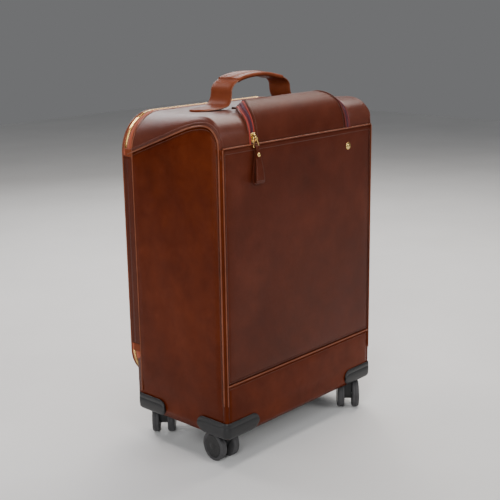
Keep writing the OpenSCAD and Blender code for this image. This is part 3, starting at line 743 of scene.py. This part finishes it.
def build_main_zip():
    run, out = zip_run(0.0)
    ribbon("case_zip_tape", run, out, [(PIPE_Y + 1.0, 2.0), (REAR_Y - 2.0, 2.3), (REAR_Y + 0.8, 2.0),
                                       (REAR_Y + 2.4, 0.7), (ZIP_Y - 1.6, 0.3), (ZIP_Y - 0.25, 0.3)],
           "case", "case_zip")
    ribbon("lid_zip_tape", run, out, [(LID_Y + 0.8, -0.3), (LID_Y - 0.8, 0.3), (ZIP_Y + 2.6, 0.5),
                                      (ZIP_Y + 0.25, 0.3)], "lid", "lid_zip")
    fine, fine_out = zip_run(-1.1, 1.42)
    for first, body, sign in ((8, "case", -1), (9, "lid", 1)):
        verts, faces = [], []
        for k in range(first, len(fine) - 8, 2):
            along = np.cross(fine_out[k], (0, 1, 0))
            tooth(verts, faces, fine[k] + np.array((0, ZIP_Y + sign * 0.95, 0)), along, fine_out[k], -sign)
        place(fix_normals(mesh(body + "_zip_teeth", verts, faces, BRASS, smooth=False)), body, "brass")
    # leather tabs over the zip's two ends
    y0, y1 = PIPE_Y + 1.2, ZIP_Y - 0.3
    tabs = [slab("tab", *([(x, y0, z), (x, y1, z), (x, y1, z + 13), (x, y0, z + 13)]
                          for x in (-LID_HALF_W - 2.9, -LID_HALF_W - 0.4)), STRAP)
            for z in (HINGE_Z[0] - 12.5, HINGE_Z[1] - 0.5)]
    place(bevel(join("zip_end_tab_leather", tabs), 0.8, 3), "case", "leather_tan", "zip_end_tabs")


def build_hinge_strip():
    rows = np.linspace(HINGE_Z[0] - 0.5, HINGE_Z[1] + 0.5, 60)
    ys = np.linspace(PIPE_Y + 1.0, LID_Y + 1.0, 21)
    verts = []
    for z in rows:
        for y in ys:
            f = (y - REAR_Y) / (LID_Y - REAR_Y)
            groove = -0.5 * math.exp(-((f - 0.5) / 0.12) ** 2)
            flush = 1.9 * (1 - smoothstep((y - REAR_Y) / 6))
            bulge = 0.9 * math.sin(math.pi * np.clip(f, 0, 1))
            verts.append((-(LID_HALF_W + 0.55 + flush + bulge + groove), y, z))
    obj = skin("hinge_strip_leather", verts, grid_faces(len(rows), len(ys)), DARK, 1.2, (0, 103, 320))
    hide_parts("hinge_strip", "lid_hinge_strip")
    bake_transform(obj)


def mirrored_outline(half):
    """A closed (y, z) outline from one half of it, mirrored across the zip's middle line."""
    return [(ZIP_Y + w, z) for w, z in half] + [(ZIP_Y - w, z) for w, z in half[::-1]]


def build_slider(body, node, z0, z1, bail_z):
    """A zip slider's body with its rounded shoulders and the bail that holds the pull."""
    x = LID_HALF_W
    poly = mirrored_outline([(3.9 - 1.1 * math.cos(math.pi * f), z0 + (z1 - z0) * f)
                             for f in np.linspace(0, 1, 9)])
    plate = slab("p", *([(face, y, z) for y, z in poly] for face in (x + 1.2, x + 2.5)), BRASS)
    arch = [(x + 2.3 + 1.7 * math.sin(a), bail_z - 3.4 * math.cos(a)) for a in np.linspace(0, math.pi, 13)]
    loops = [tube("b", [(ax, ZIP_Y + dy, az) for ax, az in arch], 0.42, BRASS, 8) for dy in (-2.4, 2.4)]
    obj = join(node + "_brass", [apply_modifiers(bevel(plate, 0.35, 3))] + loops)
    place(obj, body, "brass", node)


def build_pull(body, node, bail_z, length):
    """A small cast pull with a slot, hanging from its bail."""
    x = LID_HALF_W + 3.3
    poly = mirrored_outline([(1.9, bail_z + 0.45), (2.2, bail_z - 3), (3.4, bail_z - 6),
                             (3.7, bail_z - length * 0.55), (3.2, bail_z - length + 2.2),
                             (1.8, bail_z - length + 0.5)])
    plate = slab(node + "_brass", *([(face, y, z) for y, z in poly] for face in (x - 0.55, x + 0.55)), BRASS)
    place(bevel(plate, 0.4, 3), body, "brass", node)


def build_lid():
    # how far the outline has shrunk at each height of the lid's crowned face
    levels = [(0.6, -1.2), (0.0, 0.0), (-0.1, 2.2), (0.9, 4.4), (3.4, 6.3), (8.0, 7.8), (15.0, 8.7),
              (26.0, 9.2), (40.0, 9.5), (60.0, 9.7), (85.0, 9.85), (110.0, 9.9)]
    rows = [[(x, LID_Y + h + (0.25 * wave(x, z, 5.5) if g > 10 else 0), z) for x, z in lid_outline(g, 30, 14)]
            for g, h in levels]
    cz = (LID_TOP_Z + LID_LOW_Z) / 2
    rows += [[(x * f, LID_Y + 9.95, cz + (z - cz) * f) for x, _, z in rows[-1]] for f in (0.75, 0.5, 0.25)]
    cols = len(rows[0])
    verts = [p for r in rows for p in r] + [(0.0, LID_Y + 10.0, cz)]
    base = (len(rows) - 1) * cols
    faces = grid_faces(len(rows), cols, False, True)
    faces += [(base + j, base + (j + 1) % cols, len(verts) - 1) for j in range(cols)]
    place(skin("lid_leather", verts, faces, SIDE, 2.0, (0, 60, 320)), "lid", "leather_side", "lid_shell")
    outline = [(x, LID_Y + 1.0, z) for x, z in lid_outline(-0.4, 40, 20)]
    place(tube("lid_edge_piping", outline, 1.35, CORD, closed=True), "lid", "piping_leather", "lid_piping")
    rows = [stitches("s", [(x, LID_Y + h, z) for x, z in lid_outline(g, 40, 20)], (0, 1, 0), THREAD,
                     closed=True)
            for g, h in ((12.0, 8.75), (15.5, 8.95))]
    place(join("lid_stitching", rows), "lid", "piping_leather")


# ---------------------------------------------------------------- the zipped flap
# Centre line of the flap from its sewn lower edge, over the crest, to its rear edge: (y, z).
FLAP_LINE = [(-111.9, 512.9), (-111.6, 519), (-110.6, 527), (-108.8, 537), (-105.4, 547), (-99.6, 557),
             (-92.0, 565), (-84.0, 570.2), (-75.0, 573.4), (-67.0, 574.2), (-61.5, 572.6), (-58.6, 568.0),
             (-57.6, 562.0)]
# Panel edge (x, y, z) and the foot of its zip band on the shell, station by station.
FLAP_EDGE = [(110.5, -111.9, 512.9), (110.3, -111.5, 519), (109.8, -110.6, 527), (109.0, -108.8, 537),
             (107.9, -105.3, 546.6), (106.2, -99.5, 556.3), (103.2, -91.9, 564.3), (98.8, -84.0, 569.4),
             (92.8, -75.0, 572.8), (87.4, -67.4, 573.4), (83.8, -61.8, 571.7), (81.8, -58.8, 567.2),
             (81.0, -57.8, 561.6)]
FLAP_FOOT = [(123.4, -111.6, 512.9), (123.2, -111.2, 519), (122.6, -110.0, 527), (121.6, -107.4, 537),
             (120.4, -102.7, 546.2), (118.8, -95.8, 553.4), (116.4, -88.6, 557.8), (112.8, -81.4, 560.8),
             (107.6, -74.2, 562.8), (102.6, -67.6, 563.6), (98.8, -62.6, 563.0), (95.8, -59.4, 561.6),
             (94.0, -58.0, 560.2)]


def smooth_line(points, n):
    """A smooth curve through given points."""
    p = np.array(points, float)
    d = lengths_along(p)
    m = np.gradient(p, d, axis=0)
    out = []
    for s in np.linspace(0, d[-1], n):
        k = min(max(int(np.searchsorted(d, s) - 1), 0), len(d) - 2)
        h = d[k + 1] - d[k]
        t = (s - d[k]) / h
        out.append((2 * t ** 3 - 3 * t ** 2 + 1) * p[k] + (t ** 3 - 2 * t ** 2 + t) * h * m[k]
                   + (-2 * t ** 3 + 3 * t ** 2) * p[k + 1] + (t ** 3 - t ** 2) * h * m[k + 1])
    return np.array(out)


FLAP_N = 40
LINE = smooth_line([(0.0, y, z) for y, z in FLAP_LINE], FLAP_N)
EDGE = smooth_line(FLAP_EDGE, FLAP_N)
FOOT = smooth_line(FLAP_FOOT, FLAP_N)
INNER = (0, -60, 500)                  # a point inside the flap


def on_flap(obj, slot, *nodes):
    """A piece that grows out of the case at the flap's sewn edge; its transform is baked and the CAD nodes it
    stands for are hidden.
    """
    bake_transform(obj)
    if nodes:
        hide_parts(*nodes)


def build_flap():
    cols = 41
    verts = []
    for c, e in zip(LINE, EDGE):
        for u in np.linspace(-1, 1, cols):
            # flat across the middle, rolling over to the zip band near the ends
            k = max(0.0, (abs(u) - 0.86) / 0.14) ** 2.3
            x, y, z = u * e[0], c[1] + (e[1] - c[1]) * k, c[2] + (e[2] - c[2]) * k
            verts.append((x, y, z + 0.25 * wave(x * 1.6, y * 3, 3.3)))
    obj = skin("flap_leather", verts, grid_faces(FLAP_N, cols), DARK, 2.2, INNER)
    smooth = obj.modifiers.new("smooth", "SUBSURF")
    smooth.levels = smooth.render_levels = 1
    on_flap(obj, "leather_dark", "flap_panel")
    build_flap_end("left", EDGE * (-1, 1, 1), FOOT * (-1, 1, 1), -1, RED_TAPE)
    # the right end's red lines are drawn in the darker wine tape: painted shade on the same red lines
    build_flap_end("right", EDGE, FOOT, 1, WINE_TAPE)


def build_flap_end(name, edge, foot, side, line_tape):
    """The zip band at one end of the flap: two tapes, two coils, edge cords, welt and sewing."""
    across = foot - edge
    lift = unit(np.cross(np.gradient(edge + across * 0.54, axis=0), across))
    if lift[3][1] > 0:
        lift = -lift

    def fix(obj, half, slot, *names):
        if half == "outer":
            place(obj, "case", slot, *names)
        else:
            on_flap(obj, slot, *names)

    for half, a, b, node in (("inner", 0.02, 0.50, "flap_zip"), ("outer", 0.54, 1.0, "flap_zip_case")):
        verts = [edge[k] + across[k] * w + lift[k] * 0.25 * math.sin(math.pi * w)
                 for k in range(FLAP_N) for w in np.linspace(a, b, 6)]
        tape = skin("flap_zip_%s_%s" % (half, name), verts, grid_faces(FLAP_N, 6), WINE_TAPE, 0.7, INNER)
        fix(tape, half, "zip_tape", *([node] if side < 0 else []))     # the left piece names the CAD node
    # the coil: one row of wire loops on each half
    for half, coil_at in (("inner", 0.47), ("outer", 0.57)):
        base = resample(edge + across * coil_at + lift * 0.85, 0.9)
        along = np.linspace(0, 1, FLAP_N)
        up = np.array([np.interp(np.linspace(0, 1, len(base)), along, lift[:, k]) for k in range(3)]).T
        p, _, nor, out = frames_along(base, up=up)
        wire = []
        for k in range(len(p)):
            step = p[min(k + 1, len(p) - 1)] - p[k]
            for q in range(4):
                turn = math.pi / 2 * q
                loop = out[k] * 1.15 * math.cos(turn) + nor[k] * 0.55 * math.sin(turn)
                wire.append(p[k] + step * q / 4 + loop)
        fix(tube("flap_coil_%s_%s" % (half, name), wire, 0.27, COIL, 4), half, "zip_tape")
    # rolled edge of the panel and the two coloured lines of the zip band; at the right end the lines take the
    # darker wine tape as painted shade
    for part, w, high, radius, mat, slot, half in (
            ("rim", 0.0, 0.5, 0.9, DARK, "leather_dark", "inner"),
            ("red_inner", 0.20, 0.3, 0.85, line_tape, "zip_tape", "inner"),
            ("red_outer", 0.95, 0.5, 1.1, line_tape, "zip_tape", "outer")):
        fix(tube("flap_%s_%s" % (part, name), edge + across * w + lift * high, radius, mat, 8), half, slot)
    # the welt that the band stands on
    verts = []
    for q in foot:
        toward = np.array((0.0, max(0.0, BROW_Y - q[1]), min(0.0, BROW_Z - 8 - q[2])))
        toward /= np.linalg.norm(toward)
        for depth, wide in ((-0.3, 0.2), (1.5, 1.0), (4.0, 1.7), (7.0, 2.0)):
            verts.append(q + toward * depth + np.array((side * wide, 0, 0)))
    welt = skin("flap_welt_" + name, verts, grid_faces(FLAP_N, 4), TOP, 1.0, (0, -60, 530))
    place(welt, "case", "leather_dark")
    sew = stitches("flap_sewing_" + name, edge * (0.965, 1, 1) + lift * 0.9, lift, THREAD, 3.6, 2.4)
    on_flap(sew, "piping_leather")


PULL_X = -116.4
RING_SWAY = 2.6         # the ring hangs a little to the right


def build_flap_slider():
    x, y0 = PULL_X, -112.6

    def back(z):
        """How far the plate leans back with the curving zip at height z."""
        return 0.16 * max(0.0, z - 521.0)

    # slider body: a shield on the zip with a bridge that carries the ring
    half = [(3.3 + 1.9 * math.sin(math.pi * min(1.0, 0.12 + 0.62 * f)), 515.0 + 14.5 * f)
            for f in np.linspace(0, 1, 13)]
    poly = [(x + w, z) for w, z in half] + [(x - w, z) for w, z in half[::-1]]
    plate = slab("p", *([(px, y + back(z), z) for px, z in poly] for y in (y0 + 0.3, y0 - 1.4)), BRASS)
    bridge = [(x, y0 - 1.2 - 4.6 * math.sin(a) + back(522.5 + 6 * math.cos(a)), 522.5 + 6.0 * math.cos(a))
              for a in np.linspace(0, math.pi, 17)]
    loop = sweep("b", bridge, [(-1.1, -0.5), (1.1, -0.5), (1.1, 0.5), (-1.1, 0.5)], BRASS, up=(0, -1, 0))
    parts = [apply_modifiers(bevel(plate, 0.6, 3)), apply_modifiers(bevel(loop, 0.3))]
    obj = join("flap_slider_brass", parts)
    place(obj, "flap_zip_slider", "brass", "flap_slider")
    # ring: a flat eye through the bridge, a waist, and sides that widen to a straight lower bar
    low, wide = 508.0, 5.9
    right = [(0.7, 523.3), (2.4, 523.3), (3.6, 522.8), (4.4, 521.6), (4.5, 520.2), (4.1, 518.9)]
    right += [(4.1 + (wide - 4.1) * f ** 1.3, 518.4 - (518.4 - low - 1.3) * f) for f in (0.2, 0.45, 0.7, 1.0)]
    right += [(wide - 1.2 * (1 - math.cos(a)), low + 1.2 - 1.2 * math.sin(a)) for a in (0.5, 1.0, 1.5)]
    right += [(2.4, low), (0.8, low)]
    outline = right + [(-u, z) for u, z in right[::-1]]
    hang = [(x + u + RING_SWAY * max(0.0, 521 - z) / 13, y0 - 3.9, z) for u, z in outline]
    place(tube("flap_ring_brass", hang, 0.95, BRASS, 12, closed=True), "flap_zip_ring", "brass", "flap_ring")


def build_puller():
    """A leather puller: one strap folded over the ring's lower bar, riveted, and hanging as an open loop."""
    x, bar_y, half_t = PULL_X + RING_SWAY, -116.5, 0.8
    # (outward from the bar, z) down the front face from the fold to the loop's lowest turn, then up the back
    front_face = [(-2.4, 508), (-2.7, 503), (-3.1, 497), (-3.8, 490), (-4.9, 480), (-5.6, 470), (-5.9, 461)]
    fold = [(-1.0, 499.5), (0.5, 503), (1.9, 506), (2.3, 508.2), (1.5, 509.9), (0, 510.4), (-1.6, 509.8)]
    rest = [(-5.6, 456.2), (-4.5, 453.5), (-2.5, 452.4), (-0.4, 453.4), (1.0, 456.4), (1.6, 462), (1.4, 470),
            (0.7, 480), (-0.4, 489), (-1.1, 495), (-1.05, 498.4)]
    loop = smooth_line([(0, *p) for p in fold + front_face + rest], 150)[:, 1:]
    face_y, face_z = zip(*([(-5.6, 456)] + front_face[::-1]))

    def width(z):
        return float(np.interp(z, (452, 460, 475, 488, 497, 504, 507), (10.2, 9.9, 8.2, 6.7, 5.4, 4.3, 4.15)))

    def middle(z):
        return x + 0.05 * max(0.0, 500 - z)

    def front(z):
        return bar_y + float(np.interp(z, face_z, face_y)) - half_t

    along = unit(np.gradient(loop, axis=0))
    verts = [(middle(z) + u, bar_y + dy + tz * v, z - ty * v) for (dy, z), (ty, tz) in zip(loop, along)
             for u, v in rounded_strip(width(z), half_t)]
    strap = fix_normals(mesh("puller_strap", verts, tube_faces(len(loop), len(verts) // len(loop)), DARK))
    # the strap's rounded end, lapped over the front under the rivet
    tab = [(-4.4, 504.5), (-5.0, 500)]
    tab += [(5.4 * math.cos(a), 496 + 5.6 * math.sin(a)) for a in np.radians(np.arange(180, 361, 12))]
    tab += [(5.0, 500), (4.4, 504.5)]
    tongue = slab("puller_tab", *([(middle(z) + u, front(z) - d, z) for u, z in tab] for d in (-0.2, 1.2)),
                  DARK)
    obj = join("puller_leather", [strap, apply_modifiers(bevel(tongue, 0.35))])
    place(obj, "flap_zip_puller", "leather_dark", "flap_puller")
    cap = [(0, 1.6), (1.4, 1.45), (2.6, 1.0), (3.3, 0.4), (3.5, -0.15), (3.3, -0.5)]
    rivet_z = 496.9
    caps = [lathe("r", cap, (middle(rivet_z), y, rivet_z), (0, s, 0), BRASS, 32)
            for s, y in ((-1, front(rivet_z) - 1.2), (1, bar_y - 0.2))]
    place(join("puller_rivet_brass", caps), "flap_zip_puller", "brass", "puller_rivet")
    line = [(side, z) for side in (-1, 1) for z in np.linspace(489, 457, 30)[::-side]]
    sew = stitches("puller_stitching",
                   [(middle(z) + side * (width(z) - 1.5), front(z), z) for side, z in line],
                   (0, -1, 0), THREAD, 2.8, 1.9, 0.26)
    place(sew, "flap_zip_puller", "piping_leather")


# ---------------------------------------------------------------- carry handle
STRAP_Y = -2.5
STRAP_W = 45.0
STRAP_T = 4.0
STRAP_ROUND = 0.18      # roundness of the strap's edges, as a share of half its width
FOOT_X = 84.0           # where the flat feet start
LEG_X = 70.6            # where the legs turn into the arch
ARCH_Z, ARCH_RISE = 579.0, 26.6
GRIP_X = 54.0           # half the grip's length
GROOVE_U = 0.37         # where the grip's sewn grooves run, as a share of half its width


def handle_path():
    """The strap's middle line in (x, z) from its left tip, up the leg and over the arch to the right tip."""
    z0 = top_z(STRAP_Y) + STRAP_T / 2
    left = [(-120.0, z0 - 1.0), (-112, z0 - 0.4), (-104, z0), (-96, z0 + 0.2), (-88, z0 + 1.0),
            (-81, z0 + 3.0), (-75.8, z0 + 7.5), (-72.2, z0 + 14.0), (-LEG_X, z0 + 21.0)]
    arch = [(-LEG_X * math.cos(a) ** 0.84, ARCH_Z + ARCH_RISE * math.sin(a) ** 0.84)
            for a in np.radians(np.arange(9, 91, 9))]
    half = left + arch
    # the arch sags a little on the right
    return half + [(-x, z - 2.5 * math.exp(-((x + 42) / 22) ** 2)) for x, z in half[:-1][::-1]]


def rounded_strip(half_w, half_t):
    """Cross-section of a strap with rounded edges."""
    flat = half_w - half_t
    pts = []
    for s in (1, -1):
        pts += [(s * f * flat, s * half_t) for f in np.linspace(-1, 1, 7)]
        pts += [(s * (flat + half_t * math.cos(a)), s * half_t * math.sin(a))
                for a in np.radians([45, 0, -45])]
    return pts


def strap_half_width(reach):
    """Half the strap's width at a distance from the handle's middle, with a blunt rounded tip."""
    if reach > FOOT_X:
        f = (reach - FOOT_X) / 36
        full = STRAP_W / 2 + 2.5 * math.sin(math.pi * f)
        return max(1.2, full * math.sqrt(max(0.0, 1 - f ** 5)) if f < 1 else 0.0)
    if reach > 70:
        return STRAP_W / 2 + 1.6 * math.sin(math.pi * min(1.0, (reach - 70) / 28))
    return STRAP_W / 2


def foot_x(x):
    """The feet run on past the legs to a long tongue."""
    return math.copysign(abs(x) + 0.33 * max(0.0, abs(x) - FOOT_X), x)


def build_carry_handle():
    p, t, _, _ = frames_along(smooth_line([(x, STRAP_Y, z) for x, z in handle_path()], 150), up=(0, 1, 0))
    side = np.array((0.0, 1.0, 0.0))
    out = np.cross(t, side)
    section = rounded_strip(1.0, STRAP_ROUND)
    cols = len(section)
    verts = []
    for k in range(len(p)):
        reach = abs(p[k][0])
        for a, b in section:
            q = p[k] + side * a * strap_half_width(reach) + out[k] * STRAP_T / 2 * b / STRAP_ROUND
            if reach > 76:
                q[2] += (top_z(q[1]) - top_z(STRAP_Y)) * smoothstep((reach - 76) / 10)
            q[0] = foot_x(q[0])
            verts.append(q)
    strap = fix_normals(mesh("handle_strap_leather", verts, tube_faces(len(p), cols), STRAP))
    place(strap, "case", "leather_tan", "carry_handle")
    # painted edges of the strap and its feet
    widths = [a for a, _ in section]
    edges = [tube("e", [verts[k * cols + col] for k in range(1, len(p) - 1)], 0.85, EDGE_PAINT, 8)
             for col in (widths.index(max(widths)), widths.index(min(widths)))]
    place(join("handle_edge_paint", edges), "case", "leather_tan")
    rows = build_grip([k for k in range(len(p)) if abs(p[k][0]) <= GRIP_X], p, side, STRAP_W / 2 + 1.5)
    for x_end in (-56.2, 56.2):
        k = int(np.argmin(abs(p[:, 0] - x_end)))
        line = [p[k] + side * a + out[k] * 2.05 for a in np.linspace(-18, 18, 9)]
        rows.append(stitches("s", line, out[k], THREAD, 3.2, 2.2))
    # stitching round the two feet
    for end in (-1, 1):
        loop = []
        for a in np.radians(np.linspace(-90, 90, 19)):
            x = end * (86 + 29.5 * abs(math.cos(a)) ** 0.8)
            y = STRAP_Y + 18.6 * math.sin(a)
            loop.append((foot_x(x), y, top_z(y) + STRAP_T + 0.1 - (0.7 if abs(x) > 112 else 0)))
        rows.append(stitches("s", loop, (0, 0, 1), THREAD, 3.2, 2.2))
    place(join("handle_stitching", rows), "case", "piping_leather")


def build_grip(span, line, side, half_w):
    """The padded grip wrapped round the middle of the arch; gives back its two rows of stitches."""
    p, t, _, _ = frames_along(line[span], up=side)
    out = np.cross(t, side)

    def shoulder(u):
        return math.sqrt(max(0.0, 1 - max(0.0, (abs(u) - 0.86) / 0.14) ** 2))

    section = []
    for u in np.linspace(-1, 1, 33):
        ridge = 1.15 * math.exp(-(abs(u) / 0.30) ** 4)
        groove = -0.5 * math.exp(-((abs(u) - GROOVE_U) / 0.05) ** 2)
        section.append((u * half_w, (3.35 + ridge + groove) * shoulder(u)))
    section += [(u * half_w, -3.3 * shoulder(u)) for u in np.linspace(1, -1, 17)[1:-1]]
    verts = []
    for k in range(len(p)):
        end = min(1.0, (GRIP_X - abs(p[k][0])) / 1.6)
        f = 0.80 + 0.20 * math.sqrt(max(0.0, 1 - (1 - end) ** 2))
        verts += [p[k] + side * a * (0.99 + 0.01 * f) + out[k] * b * f for a, b in section]
    grip = fix_normals(mesh("handle_grip_leather", verts, tube_faces(len(p), len(section)), STRAP))
    place(grip, "case", "leather_tan", "grip_wrap")
    return [stitches("s", (p + side * s * half_w * GROOVE_U + out * 2.95)[2:-2], (0, 0, 1), THREAD, 3.4, 2.3)
            for s in (-1, 1)]


# ---------------------------------------------------------------- casters and other hardware
WHEEL_R, WHEEL_W, LEG_W = 24.5, 13.0, 12.5
INSET, TRAIL = 28.0, 16.0
CASTERS = {"front_left": (-1, FACE_Y + INSET, 84), "front_right": (1, FACE_Y + INSET, 222),
           "rear_left": (-1, REAR_Y - INSET, 43), "rear_right": (1, REAR_Y - INSET, 102)}


def build_wheels():
    w, r = WHEEL_W, WHEEL_R
    tyre = [(10.0, 0.4), (r - 4.2, 0.2)]
    tyre += [(r - 3.0 + 3.0 * math.sin(a), 0.2 + 3.0 * (1 - math.cos(a)))
             for a in np.radians([20, 40, 60, 80])]
    tyre += [(r, 4.6), (r - 0.35, 5.0), (r - 0.35, 5.5), (r, 5.9), (r, w - 4.6)]
    tyre += [(r - 3.0 + 3.0 * math.cos(a), w - 3.4 + 3.0 * math.sin(a))
             for a in np.radians([15, 35, 55, 75, 90])]
    tyre += [(r - 4.4, w - 0.5), (r - 5.2, w - 0.9), (r - 5.6, w - 1.9)]
    disc = [(r - 5.7, w - 1.2), (r - 6.3, w - 0.95), (r - 8.0, w - 0.9), (9.0, w - 0.8), (4.2, w - 0.75),
            (3.8, w - 0.5), (2.0, w - 0.35), (0, w - 0.3)]
    ids = [0] * (len(tyre) - 1) + [1] * len(disc)
    for name, (s, y, angle) in CASTERS.items():
        a = math.radians(angle)
        centre = Vector((s * (HALF_W - INSET) + TRAIL * math.cos(a), y + TRAIL * math.sin(a), r))
        for end, e in (("in", 1), ("out", -1)):
            wheel = "wheel_%s_%s" % (name, end)
            axis = Vector((-math.sin(a), math.cos(a), 0)) * e
            obj = lathe(wheel + "_tyre", tyre + disc, centre + axis * (LEG_W / 2 + 0.45), axis,
                        [RUBBER, GLOSS_BLACK],
                        72, ids)
            place(obj, wheel, "wheel_rubber", wheel)


def build_guards():
    """Moulded guards that wrap each lower corner, with rounded arm ends and the casters' housings."""
    section = [(0.2, 79.2), (1.5, 79.4), (2.5, 78.4), (2.9, 76.0), (3.0, 72.5), (2.5, 71.8), (2.5, 71.2),
               (3.1, 70.4),
               (3.3, 64.0), (3.1, 59.4), (2.5, 55.8), (1.5, 53.4), (0.1, 51.8), (-4.0, 50.4), (-13.0, 49.9),
               (-13.0, 52.2), (-3.0, 52.2), (0.1, 54.0)]
    housing = [(6.2, 52.0), (6.2, 50.0), (13.2, 50.0), (13.7, 50.5), (13.7, 76.8), (13.2, 77.3), (6.2, 77.3)]
    sole = ((3, 3), (58, 3), (58, 14), (44, 44), (14, 58), (3, 58))
    mid_z, corner_r, end_mm = 65.5, 8.0, 14.0
    # along one wall, round the corner and along the other: place and outward direction
    path = [(0.0, b, 1, 0) for b in np.r_[66 - 14 * np.linspace(0, 1, 10) ** 2, np.linspace(48, corner_r, 6)]]
    path += [(corner_r * (1 - math.cos(a)), corner_r * (1 - math.sin(a)), math.cos(a), math.sin(a))
             for a in np.radians(np.arange(10, 90, 10))]
    path += [(a, 0.0, 0, 1)
             for a in np.r_[np.linspace(corner_r, 54, 6), 72 - 14 * np.linspace(1, 0, 10) ** 2]]
    run = lengths_along([p[:2] for p in path])
    parts = []
    for sx in (-1, 1):
        for wall_y, sy in ((FACE_Y, 1), (REAR_Y, -1)):
            verts = []
            for (a, b, na, nb), d in zip(path, run):
                near = min(d, run[-1] - d, end_mm) / end_mm
                e = math.sqrt(max(0.0, 1 - (1 - near) ** 2))
                for off, z in section:
                    keep = off if off > 0 else off * e
                    verts.append((sx * (HALF_W - a + na * keep), wall_y + sy * (b - nb * keep),
                                  mid_z + (z - mid_z) * (0.05 + 0.95 * e)))
            parts.append(fix_normals(mesh("guard", verts, tube_faces(len(path), len(section)), BLACK)))
            centre = (sx * (HALF_W - INSET), wall_y + sy * INSET, 0)
            parts.append(lathe("housing", housing, centre, (0, 0, 1), BLACK, 48))
            plate = slab("sole",
                         *([(sx * (HALF_W - a), wall_y + sy * b, z) for a, b in sole] for z in (50.2, 52.4)),
                         BLACK)
            parts.append(apply_modifiers(bevel(plate, 0.6, 2)))
    place(join("corner_guards_moulded", parts), "case", "black_plastic", "corner_guards")


def finish_cad_nodes():
    """Materials and softened edges for the CAD pieces that stay."""
    dressed = [("front_wall channel_walls main_lining lid_lining", LINING, 0.0), ("rear_frame", DARK, 0.0),
               ("base_board tube_collars", BLACK, 0.0), ("handle_bezel trolley_grip", BROWN, 0.6),
               ("tube_foot", BLACK, 0.6), ("outer_tubes mid_tubes inner_tubes", ALLOY, 0.0),
               ("release_button", CHROME, 0.5)]
    dressed += [("fork_" + q, BLACK, 0.9) for q in CASTERS] + [("axle_" + q, STEEL, 0.0) for q in CASTERS]
    for names, mat, width in dressed:
        for name in names.split():
            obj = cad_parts[name]
            obj.data.materials.clear()
            obj.data.materials.append(mat)
            if width:
                bevel(obj, width, 3, 40)


# ---------------------------------------------------------------- stage, light, camera
def build_stage():
    n = Nodes("floor")
    pale = n.finish(n.ramp(n.noise(3.0, 4), [(0.3, (0.74, 0.74, 0.735)), (0.8, (0.80, 0.80, 0.795))]), 0.6)
    reach = 4000
    corners = [(-reach, -reach, 0), (reach, -reach, 0), (reach, reach, 0), (-reach, reach, 0)]
    mesh("floor", corners, [(0, 1, 2, 3)], pale, smooth=False)
    world = bpy.data.worlds.new("studio")
    bpy.context.scene.world = world
    world.use_nodes = True
    world.node_tree.nodes["Background"].inputs["Color"].default_value = (0.86, 0.87, 0.89, 1)
    world.node_tree.nodes["Background"].inputs["Strength"].default_value = 0.19
    for name, spot, target, size, power, colour in (
            ("key", (-2.1, -1.5, 1.7), (0, 0, 0.35), (0.9, 1.5), 40, (1, 1, 1)),
            ("front", (0.9, -2.6, 1.7), (0, 0, 0.35), (1.5, 0.7), 29, (1, 1, 1)),
            ("top", (1.25, 0.35, 2.1), (0, 0, 0.5), (1.7, 1.1), 44, (1.0, 0.94, 0.88)),
            ("back", (1.1, 1.7, 1.35), (0, 0, 0.5), (1.3, 0.6), 13, (1, 1, 1)),
            ("side", (-2.5, 0.9, 0.8), (0, 0, 0.3), (0.5, 1.4), 12, (1, 1, 1)),
            ("shoulder", (-0.25, 1.35, 1.6), (-0.1, 0.05, 0.5), (0.8, 0.35), 12, (1.0, 0.93, 0.93)),
            ("over", (-0.38, -0.38, 2.0), (-0.1, -0.05, 0.5), (0.4, 0.4), 7, (1.0, 0.95, 0.92))):
        light = bpy.data.lights.new(name, "AREA")
        light.shape = "RECTANGLE"
        light.size, light.size_y = size
        light.energy = power
        light.color = colour
        obj = bpy.data.objects.new(name, light)
        bpy.context.collection.objects.link(obj)
        obj.location = spot
        obj.rotation_euler = (Vector(target) - Vector(spot)).to_track_quat("-Z", "Y").to_euler()


FOCAL_PX, FRAME_PX, SENSOR = 996.9, 500, 36.0
CAM_AZ, CAM_EL, CAM_ROLL, CAM_DIST = -47.0, 14.39, -0.926, 1.6918
CAM_TARGET = Vector((-0.0153, -0.0080, 0.3108))


def build_camera():
    data = bpy.data.cameras.new("camera")
    data.sensor_width = SENSOR
    data.lens = FOCAL_PX / FRAME_PX * SENSOR
    cam = bpy.data.objects.new("camera", data)
    bpy.context.collection.objects.link(cam)
    az, el, roll = (math.radians(v) for v in (CAM_AZ, CAM_EL, CAM_ROLL))
    back = Vector((math.sin(az) * math.cos(el), -math.cos(az) * math.cos(el), math.sin(el)))
    right = (-back).cross(Vector((0, 0, 1))).normalized()
    up = right.cross(-back)
    right2 = right * math.cos(roll) + up * math.sin(roll)
    up2 = -right * math.sin(roll) + up * math.cos(roll)
    cam.matrix_world = Matrix((right2, up2, back)).transposed().to_4x4()
    cam.matrix_world.translation = CAM_TARGET + back * CAM_DIST
    bpy.context.scene.camera = cam


# ---------------------------------------------------------------- build everything
build_camera()
build_stage()
build_top_wrap()
build_side(-1, "left")
build_side(1, "right")
build_front()
build_piping()
build_seam_fold()
build_case_stitching()
build_stud()
build_main_zip()
build_hinge_strip()
build_lid()
build_slider("upper_zip_slider", "upper_slider", 300.2, 312.0, 309.0)
build_slider("lower_zip_slider", "lower_slider", 286.0, 299.8, 287.6)
build_pull("upper_zip_pull", "upper_pull", 309.0, 18.0)
build_pull("lower_zip_pull", "lower_pull", 287.6, 32.0)
build_flap()
build_flap_slider()
build_puller()
build_carry_handle()
build_wheels()
build_guards()
finish_cad_nodes()

bpy.context.view_layer.update()
